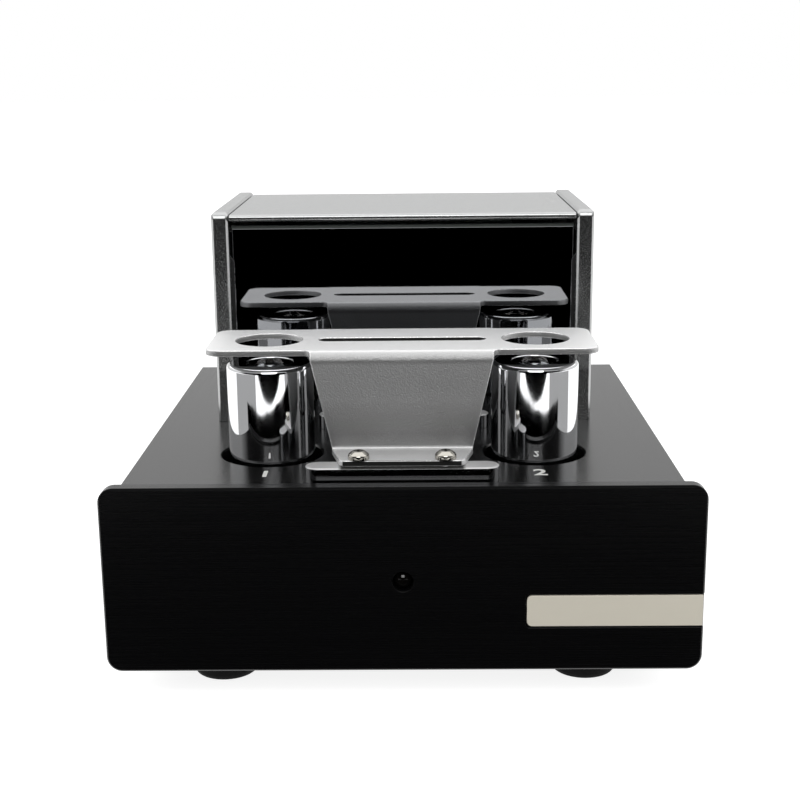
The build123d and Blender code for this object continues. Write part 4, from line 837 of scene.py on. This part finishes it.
class PREAMP_OT_screws(bpy.types.Operator):
    """Models every pan-head screw and nut, with thread and cross recess"""

    bl_idname = "preamp.screws"
    bl_label = "Screws and nuts"

    thread_radius = 1.5
    pitch = 0.5
    thread_depth = 0.6134 * pitch
    tip = 0.3
    crown_round = 0.9
    rim_round = 0.8
    head_chamfer = 0.12
    cross_arm = 0.62
    cross_taper = 0.45
    nut_flats = 5.5
    nut_height = 2.4
    nut_turning = 0.7
    nut_chamfer = 0.4
    nut_bore = 1.52
    nut_crease = radians(28)
    inlet_reach = 20  # from the inlet's middle to a screw

    def execute(self, context):
        sizes = context.scene.preamp_sizes
        head = sizes.head_diameter / 2 / MM
        up, down = Matrix.Identity(4), Matrix.Rotation(pi, 4, "X")
        back = Matrix.Rotation(-pi / 2, 4, "X")
        turns = {"guard": up, "board": up, "deck": down, "cover": down}
        for place, turn in turns.items():
            xs, ys, _ = rows(place + "_screws", head)
            self.fit(place + "_screws", turn, [(x, y) for x in xs for y in ys], sizes)
        for name in ("rear_panel_screws", "front_panel_screws"):
            xs, _, zs = rows(name, head)
            self.fit(name, back, [(x, z) for x in xs for z in zs], sizes)
        xs, ys, _ = rows("transformer_screws", head)
        self.fit("transformer_screws", up, [(x, sum(ys) / 2) for x in xs], sizes)
        xs, ys, _ = rows("rubber_feet", PREAMP_OT_feet.radius)
        self.fit("foot_screws", down, [(x, y) for x in xs for y in ys], sizes, nut_rest=0.0)
        middle = extent("inlet_body")[2]
        spots = [(middle.x + side * self.inlet_reach * MM, middle.z) for side in (-1, 1)]
        self.fit("inlet_screws", back, spots, sizes, nut_rest=1.0)
        return {"FINISHED"}

    def fit(self, name, turn, spots, sizes, nut_rest=None):
        """Puts one screw at each spot of a node, and a nut that far from its tip, if any."""
        low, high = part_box(name)
        outward = turn @ Vector((0, 0, 1))
        lengthwise = abs(outward.y) > 0.5
        start, end = (low.y, high.y) if lengthwise else (low.z, high.z)
        length = (end - start - sizes.head_height) / MM
        master = self.screw(length, sizes)
        if nut_rest is not None:
            master = joined([master, self.nut(nut_rest - length)], "screw_and_nut")
        facing = sum(outward)
        seat = (end if facing > 0 else start) - facing * sizes.head_height
        screws = []
        for x, other in spots:
            place = (x, seat, other) if lengthwise else (x, other, seat)
            screws.append(copied(master, Matrix.Translation(place) @ turn))
        bpy.data.objects.remove(master)
        screws = joined(screws, name + "_turned")
        settle(screws, "root", "bright_screw", "bright_nickel_screw", name)

    def nut(self, low):
        """A hexagon nut that stands on the height low, its corners turned off."""
        flats, rim = self.nut_flats / 2, self.nut_flats / 2 + self.nut_turning
        high = low + self.nut_height
        nut = added(
            bpy.ops.mesh.primitive_cylinder_add, vertices=6, depth=self.nut_height * MM,
            radius=self.nut_flats / 3 ** 0.5 * MM,
        )
        nut.data.transform(Matrix.Translation((0, 0, (low + self.nut_height / 2) * MM)))
        outline = [
            (0, low), (flats, low), (rim, low + self.nut_chamfer), (rim, high - self.nut_chamfer),
            (flats, high), (0, high),
        ]
        carve(nut, turned("turning", outline, (0, 0, 0), 48), "INTERSECT")
        bore = self.nut_bore
        hole = [(0, low - 1), (bore, low - 1), (bore, high + 1), (0, high + 1)]
        carve(nut, turned("hole", hole, (0, 0, 0), 32))
        bpy.ops.object.shade_smooth_by_angle(angle=self.nut_crease)
        return nut

    def screw(self, length, sizes):
        """A screw with its seat at the origin and its head up, its thread drawn as plain rings."""
        r, h = sizes.head_diameter / 2 / MM, sizes.head_height / MM
        crest, root = self.thread_radius, self.thread_radius - self.thread_depth
        crown, rim, chamfer = self.crown_round, self.rim_round, self.head_chamfer
        outline = [
            (0, h), *arc((r * 0.45, h - crown), crown, 90, 60, 3),
            *arc((r - rim, 0.85), rim, 60, 0, 5), (r, chamfer), (r - chamfer, 0), (root, 0),
        ]
        for i in range(int((length - 0.5) / self.pitch)):
            z = -0.3 - i * self.pitch
            outline += [(root, z), (crest, z - self.pitch * 0.4), (crest, z - self.pitch * 0.55)]
        outline += [(root, self.tip / 2 - length), (root - self.tip, -length), (0, -length)]
        screw = turned("screw", outline, (0, 0, 0), 32)
        for turn in (0, 90):
            carve(screw, self.blade(sizes.cross_width / MM, h, turn))
        bpy.ops.object.shade_smooth_by_angle(angle=CREASED)
        return screw

    def blade(self, width, height, turn):
        """One arm of the cross recess, narrower at its foot."""
        cutter = bar((width, self.cross_arm, 3), (0, 0, height + 0.1))
        for vertex in cutter.data.vertices:
            if vertex.co.z < height * MM:
                vertex.co.x *= self.cross_taper
        cutter.data.transform(Matrix.Rotation(radians(turn), 4, "Z"))
        return cutter


class PREAMP_OT_numerals(bpy.types.Operator):
    """Prints a plain numeral on the deck in front of each can"""

    bl_idname = "preamp.numerals"
    bl_label = "Deck numerals"

    film = 0.03
    stroke_gain = 0.2
    row_gap = 8.6

    def execute(self, context):
        size = context.scene.preamp_sizes.numeral_height
        deck_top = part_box("deck_plate")[1].z
        for side, body in zip(LEFT_AND_RIGHT, "12"):
            low, _, middle = extent(side + "_tube_shield")
            place = (middle.x, low.y - self.row_gap * MM, deck_top)
            text = added(bpy.ops.object.text_add, location=place)
            text.name = side + "_numeral"
            text.data.body = body
            text.data.size = size
            text.data.align_x = text.data.align_y = "CENTER"
            text.data.offset = self.stroke_gain * MM
            text.data.extrude = self.film * MM / 2
            bpy.ops.object.convert(target="MESH")
            bpy.ops.object.transform_apply(location=True, rotation=True, scale=True)
            settle(bpy.context.object, "root", "silver_paint", "screen_printed_ink")
        return {"FINISHED"}


# ---- operators: stage ------------------------------------------------------------------
# Black cards on the floor before the object: the right half of each outline, from the near
# end to the far one, by x and distance before the middle
CARDS = {
    "near_card": (
        (0, 85), (75, 85), (301, 206), (244, 262), (190, 290), (155, 303), (110, 320), (65, 334),
        (0, 336),
    ),
    "middle_card": (
        (0, 350), (110, 356), (200, 378), (240, 410), (200, 440), (0, 452),
    ),
    "far_card": (
        (0, 400), (1900, 650), (3600, 1400), (4500, 2900), (4000, 4500), (1500, 5900), (0, 6000),
    ),
}

# The right one of the two grey cards beside them
SIDE_CARD = ((175, 257), (251, 175), (284, 33), (454, 21), (399, 260), (270, 398))

# Lamps: the setting with their power, size and place in metres, and tilt to the rear in degrees
LAMPS = {
    "top_lamp": ("top_light", 3.6, (0, 0.7, 1.1), 0),
    "front_lamp": ("front_light", 0.7, (0, -0.9, 0.75), 50),
}


class PREAMP_OT_stage(bpy.types.Operator):
    """Makes the white floor, the cards on it, the pale room and the lamps"""

    bl_idname = "preamp.stage"
    bl_label = "Stage"

    floor_size = 12.0  # metres, as are the distances from the middle over which its glow rises
    glow_rise = (0.15, 0.7)
    glow = (0.86, 0.98)
    grey_card = 0.42
    dark_front = (-0.45, -0.05)  # the Y over which a mirrored room turns from dark to pale
    mirrored_room = 0.78

    def execute(self, context):
        settings = context.scene.preamp_stage
        self.floor()
        for name, half in CARDS.items():
            outline = [*half, *((-x, y) for x, y in reversed(half[1:-1]))]
            self.card(name, outline, height=2, level=0)
        for side in (-1, 1):
            outline = [(side * x, y) for x, y in SIDE_CARD]
            self.card("side_card", outline, height=1, level=self.grey_card)
        self.room(context.scene, settings.room_light)
        for name, (setting, size, place, tilt) in LAMPS.items():
            turn = (radians(tilt), 0, 0)
            lamp = added(bpy.ops.object.light_add, type="AREA", location=place, rotation=turn)
            lamp.name = name
            lamp.data.energy = getattr(settings, setting)
            lamp.data.size = size
        return {"FINISHED"}

    def floor(self):
        """White paper: it glows to white where it is seen, and less so under the object."""
        floor = added(bpy.ops.mesh.primitive_plane_add, size=self.floor_size)
        floor.name = "floor"
        material = bpy.data.materials.new("white_paper_sweep")
        tree = emptied(material)
        seen = self.seen(tree, node(tree, "ShaderNodeLightPath", {}))
        place = node(tree, "ShaderNodeTexCoord", {})
        away = node(tree, "ShaderNodeVectorMath", {0: place.outputs["Object"]}, operation="LENGTH")
        level = node(tree, "ShaderNodeMapRange", {
            "Value": away.outputs["Value"], "From Min": self.glow_rise[0],
            "From Max": self.glow_rise[1], "To Min": self.glow[0], "To Max": self.glow[1],
        })
        paper = node(tree, "ShaderNodeBsdfDiffuse", {"Color": linear("#b4b4b4")})
        glow = node(tree, "ShaderNodeEmission", {"Strength": level.outputs["Result"]})
        lit = node(tree, "ShaderNodeAddShader", {0: paper.outputs[0], 1: glow.outputs[0]})
        mixed = node(tree, "ShaderNodeMixShader", {
            0: seen, 1: paper.outputs[0], 2: lit.outputs[0],
        })
        node(tree, "ShaderNodeOutputMaterial", {"Surface": mixed.outputs[0]})
        floor.data.materials.append(material)

    def seen(self, tree, path):
        """1 on a ray that shows the surface itself, straight, mirrored or through glass."""
        first = node(tree, "ShaderNodeMath", {
            0: path.outputs["Is Camera Ray"], 1: path.outputs["Is Glossy Ray"],
        }, operation="MAXIMUM")
        return node(tree, "ShaderNodeMath", {
            0: first.outputs[0], 1: path.outputs["Is Transmission Ray"],
        }, operation="MAXIMUM").outputs[0]

    def card(self, name, outline, height, level):
        """A card of one grey level on the floor, which only the object's gloss sees."""
        count = len(outline)
        card = added(bpy.ops.mesh.primitive_circle_add, vertices=count, fill_type="NGON")
        card.name = name
        for vertex, (x, distance) in zip(card.data.vertices, outline):
            vertex.co = (x * MM, -distance * MM, height * MM)
        material = bpy.data.materials.new("card")
        tree = emptied(material)
        glow = node(tree, "ShaderNodeEmission", {"Strength": level})
        node(tree, "ShaderNodeOutputMaterial", {"Surface": glow.outputs[0]})
        card.data.materials.append(material)
        card.visible_camera = card.visible_diffuse = card.visible_shadow = False
        card.visible_transmission = False

    def room(self, scene, strength):
        """A white room whose front, behind the camera, is dark to mirror surfaces."""
        scene.world = bpy.data.worlds.new("pale_room")
        tree = emptied(scene.world)
        path = node(tree, "ShaderNodeLightPath", {})
        place = node(tree, "ShaderNodeTexCoord", {})
        way = node(tree, "ShaderNodeSeparateXYZ", {"Vector": place.outputs["Generated"]})
        rear = node(tree, "ShaderNodeMapRange", {
            "Value": way.outputs["Y"], "From Min": self.dark_front[0],
            "From Max": self.dark_front[1], "To Max": self.mirrored_room,
        })
        mirrored = node(tree, "ShaderNodeMix", {
            "Factor": path.outputs["Is Glossy Ray"], "A": 1.0, "B": rear.outputs["Result"],
        })
        pale = linear("#ffffff")
        soft = node(tree, "ShaderNodeBackground", {"Color": pale, "Strength": strength})
        white = node(tree, "ShaderNodeBackground", {
            "Color": pale, "Strength": mirrored.outputs["Result"],
        })
        mixed = node(tree, "ShaderNodeMixShader", {
            0: self.seen(tree, path), 1: soft.outputs[0], 2: white.outputs[0],
        })
        node(tree, "ShaderNodeOutputWorld", {"Surface": mixed.outputs[0]})


class PREAMP_OT_camera(bpy.types.Operator):
    """Sets the camera a little above the front"""

    bl_idname = "preamp.camera"
    bl_label = "Camera"

    place = Vector((4.07, -415.0, 162.17)) * MM
    tilt_down = 0.239  # radians, as are the next two
    turn_left = 0.013
    roll = -0.010

    def execute(self, context):
        camera = added(bpy.ops.object.camera_add, location=self.place)
        camera.name = "camera"
        aim = Matrix.Rotation(self.turn_left, 4, "Z")
        aim @= Matrix.Rotation(pi / 2 - self.tilt_down, 4, "X")
        aim @= Matrix.Rotation(self.roll, 4, "Z")
        camera.matrix_world = Matrix.Translation(self.place) @ aim
        camera.data.lens = context.scene.preamp_stage.focal_length
        camera.data.clip_start = 10 * MM
        context.scene.camera = camera
        context.scene.view_settings.view_transform = "Standard"
        return {"FINISHED"}


class PREAMP_PT_panel(bpy.types.Panel):
    """Lists the steps that build the preamp"""

    bl_label = "Tube phono preamp"
    bl_idname = "PREAMP_PT_panel"
    bl_space_type = "VIEW_3D"
    bl_region_type = "UI"
    bl_category = "Preamp"

    def draw(self, context):
        for step in STEPS:
            self.layout.operator(step.bl_idname)
        for group in (context.scene.preamp_sizes, context.scene.preamp_stage):
            for name in group.bl_rna.properties.keys():
                if name not in ("rna_type", "name"):
                    self.layout.prop(group, name)


STEPS = (
    PREAMP_OT_camera, PREAMP_OT_finishes, PREAMP_OT_tube_cans, PREAMP_OT_tubes, PREAMP_OT_feet,
    PREAMP_OT_nameplate, PREAMP_OT_lamp, PREAMP_OT_screws, PREAMP_OT_numerals, PREAMP_OT_stage,
)
CLASSES = (PREAMP_PG_sizes, PREAMP_PG_stage, *STEPS, PREAMP_PT_panel)


def register():
    for item in CLASSES:
        bpy.utils.register_class(item)
    bpy.types.Scene.preamp_sizes = PointerProperty(type=PREAMP_PG_sizes)
    bpy.types.Scene.preamp_stage = PointerProperty(type=PREAMP_PG_stage)


def unregister():
    del bpy.types.Scene.preamp_stage
    del bpy.types.Scene.preamp_sizes
    for item in reversed(CLASSES):
        bpy.utils.unregister_class(item)


def main():
    register()
    for step in STEPS:
        group, name = step.bl_idname.split(".")
        getattr(getattr(bpy.ops, group), name)()


if __name__ == "__main__":
    main()
